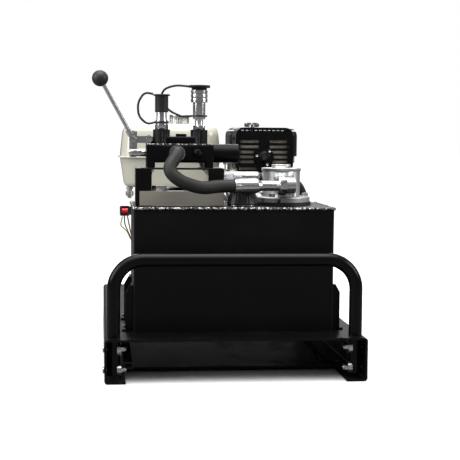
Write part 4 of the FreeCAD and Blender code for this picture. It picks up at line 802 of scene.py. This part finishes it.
class UNIT_OT_fuel_tank(bpy.types.Operator):
    """The fuel tank: two deep-drawn halves crimped at a rim, with a fuel tap under it"""
    bl_idname = "unit.fuel_tank"
    bl_label = "Fuel tank"

    def shell(self, low, high, rim, steps):
        """One pressing, drawn from the rim in steps of height above it and inset from its edge."""
        width, depth = high.x - low.x, high.y - low.y
        deselect()
        bpy.ops.mesh.primitive_plane_add(size=1.0, location=(0, 0, 0))
        half = bpy.context.object
        bpy.ops.object.mode_set(mode="EDIT")
        bpy.ops.mesh.select_all(action="SELECT")
        bpy.ops.transform.resize(value=(width, depth, 1))
        corner = 0.046
        bpy.ops.mesh.bevel(offset=corner, segments=9, affect="VERTICES")
        bpy.ops.mesh.select_all(action="SELECT")
        last = (0.0, 0.0)
        for lift, inset in steps:
            before = (width - 2 * last[1], depth - 2 * last[1])
            after = (width - 2 * inset, depth - 2 * inset)
            grow((after[0] / before[0], after[1] / before[1]), lift - last[0])
            last = (lift, inset)
        for scale, lift in ((0.8, 0.0008), (0.6, 0.0006), (0.3, 0.0002)):
            grow((scale, scale), math.copysign(lift, last[0]))
        bpy.ops.mesh.select_all(action="SELECT")
        bpy.ops.mesh.normals_make_consistent(inside=False)
        bpy.ops.transform.translate(value=((low.x + high.x) / 2, (low.y + high.y) / 2, rim))
        bpy.ops.object.mode_set(mode="OBJECT")
        bpy.ops.object.shade_smooth_by_angle(angle=math.radians(40))
        return half

    def execute(self, context):
        low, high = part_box("fuel_tank")
        rim = (low.z + high.z) / 2 - 0.010
        lip = 0.005
        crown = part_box("fuel_cap")[0].z - 0.002 - rim
        foot = rim - low.z
        round_r = 0.030
        inside = (Vector((low.x + lip, low.y + lip, 0)), Vector((high.x - lip, high.y - lip, 0)))
        arc = [(round_r * math.sin(a), round_r * (1 - math.cos(a))) for a in
               (math.radians(15 * k) for k in range(1, 7))]
        upper = self.shell(inside[0], inside[1], rim, [(0.001, 0.0), (crown - round_r, 0.006)] +
                           [(crown - round_r + rise, 0.006 + into) for rise, into in arc])
        lower = self.shell(inside[0], inside[1], rim, [(-0.001, 0.0), (-(foot - 0.014), 0.010)] +
                           [(-(foot - 0.014) - rise * 0.46, 0.010 + into * 0.46) for rise, into in arc])
        flange = self.shell(low, high, rim - 0.0015, [(0.0008, -0.0), (0.0022, 0.0), (0.003, 0.0012)])
        deselect()
        for piece in (upper, lower, flange):
            piece.select_set(True)
        context.view_layer.objects.active = upper
        bpy.ops.object.join()
        finish_piece(upper, "fuel_tank_shell", "cream")
        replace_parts(upper, "fuel_tank")
        self.tap(low)
        return {"FINISHED"}

    def tap(self, low):
        """The tap under the tank: a collar, a body and a small bowl, turned from one bar."""
        deselect()
        bpy.ops.mesh.primitive_cylinder_add(vertices=24, radius=0.009, depth=0.006, location=(0, 0, 0))
        tap = bpy.context.object
        bpy.ops.object.mode_set(mode="EDIT")
        bpy.ops.mesh.select_all(action="DESELECT")
        mesh = bmesh.from_edit_mesh(tap.data)
        for face in mesh.faces:
            face.select_set(face.normal.z < -0.9)
        bmesh.update_edit_mesh(tap.data)
        for scale, drop in ((0.8, 0.0), (1.0, 0.006), (1.5, 0.0), (1.0, 0.010), (0.82, 0.003), (0.6, 0.0),
                            (1.0, 0.004), (0.7, 0.002)):
            grow((scale, scale), -drop)
        bpy.ops.mesh.select_all(action="SELECT")
        bpy.ops.mesh.remove_doubles(threshold=0.00001)
        bpy.ops.mesh.normals_make_consistent(inside=False)
        bpy.ops.transform.translate(value=(low.x + 0.030, low.y + 0.040, low.z - 0.002))
        bpy.ops.object.mode_set(mode="OBJECT")
        bpy.ops.object.shade_smooth_by_angle(angle=math.radians(35))
        finish_piece(tap, "fuel_tap", "aluminium")


class UNIT_OT_rope(bpy.types.Operator):
    """The starter's rope, a straight run out to the grip"""
    bl_idname = "unit.rope"
    bl_label = "Starter rope"

    def execute(self, context):
        radius = context.scene.unit_sizes.rope_radius
        grip_low, grip_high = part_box("recoil_grip")
        cover_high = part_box("fan_cover")[1]
        middle = (grip_low + grip_high) / 2
        start = Vector((middle.x, min(cover_high.y, grip_low.y) - 0.012, middle.z))
        end = Vector((middle.x, grip_low.y + 0.006, middle.z))
        deselect()
        bpy.ops.mesh.primitive_cylinder_add(vertices=12, radius=radius, depth=1.0, location=(0, 0, 0),
                                            end_fill_type="NGON")
        rope = context.object
        bpy.ops.object.mode_set(mode="EDIT")
        bpy.ops.mesh.select_all(action="SELECT")
        bpy.ops.transform.resize(value=(1, 1, (end - start).length))
        bpy.ops.transform.rotate(value=math.radians(90), orient_axis="X", center_override=(0, 0, 0))
        bpy.ops.transform.translate(value=(start + end) / 2)
        cuts = 16
        for k in range(1, cuts):
            bpy.ops.mesh.select_all(action="SELECT")
            bpy.ops.mesh.bisect(plane_co=start.lerp(end, k / cuts), plane_no=(0, 1, 0))
        bpy.ops.object.mode_set(mode="OBJECT")
        bpy.ops.object.shade_smooth_by_angle(angle=math.radians(40))
        rope.name = "starter_rope"
        rope.data.name = "starter_rope"
        rope.data.materials.append(FINISH["rope"])
        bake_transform(rope)
        return {"FINISHED"}


OPERATORS = (UNIT_OT_stage, UNIT_OT_finishes, UNIT_OT_skid, UNIT_OT_reservoir, UNIT_OT_filter, UNIT_OT_valve,
             UNIT_OT_couplers, UNIT_OT_lines, UNIT_OT_pump, UNIT_OT_engine, UNIT_OT_muffler, UNIT_OT_switch,
             UNIT_OT_welds, UNIT_OT_leads, UNIT_OT_fuel_tank, UNIT_OT_rope)


class UNIT_PT_panel(bpy.types.Panel):
    """Lists the power unit's making steps"""
    bl_idname = "UNIT_PT_panel"
    bl_label = "Hydraulic power unit"
    bl_space_type = "VIEW_3D"
    bl_region_type = "UI"
    bl_category = "Power unit"

    def draw(self, context):
        for group in (context.scene.unit_sizes, context.scene.unit_colours):
            for key in group.bl_rna.properties.keys():
                if key not in ("rna_type", "name"):
                    self.layout.prop(group, key)
        for operator in OPERATORS:
            self.layout.operator(operator.bl_idname)


CLASSES = (UnitSizes, UnitColours, *OPERATORS, UNIT_PT_panel)


def register():
    for cls in CLASSES:
        bpy.utils.register_class(cls)
    bpy.types.Scene.unit_sizes = bpy.props.PointerProperty(type=UnitSizes)
    bpy.types.Scene.unit_colours = bpy.props.PointerProperty(type=UnitColours)


def unregister():
    del bpy.types.Scene.unit_colours
    del bpy.types.Scene.unit_sizes
    for cls in reversed(CLASSES):
        bpy.utils.unregister_class(cls)


def main():
    register()
    for operator in OPERATORS:
        group, name = operator.bl_idname.split(".")
        getattr(getattr(bpy.ops, group), name)()


if __name__ == "__main__":
    main()
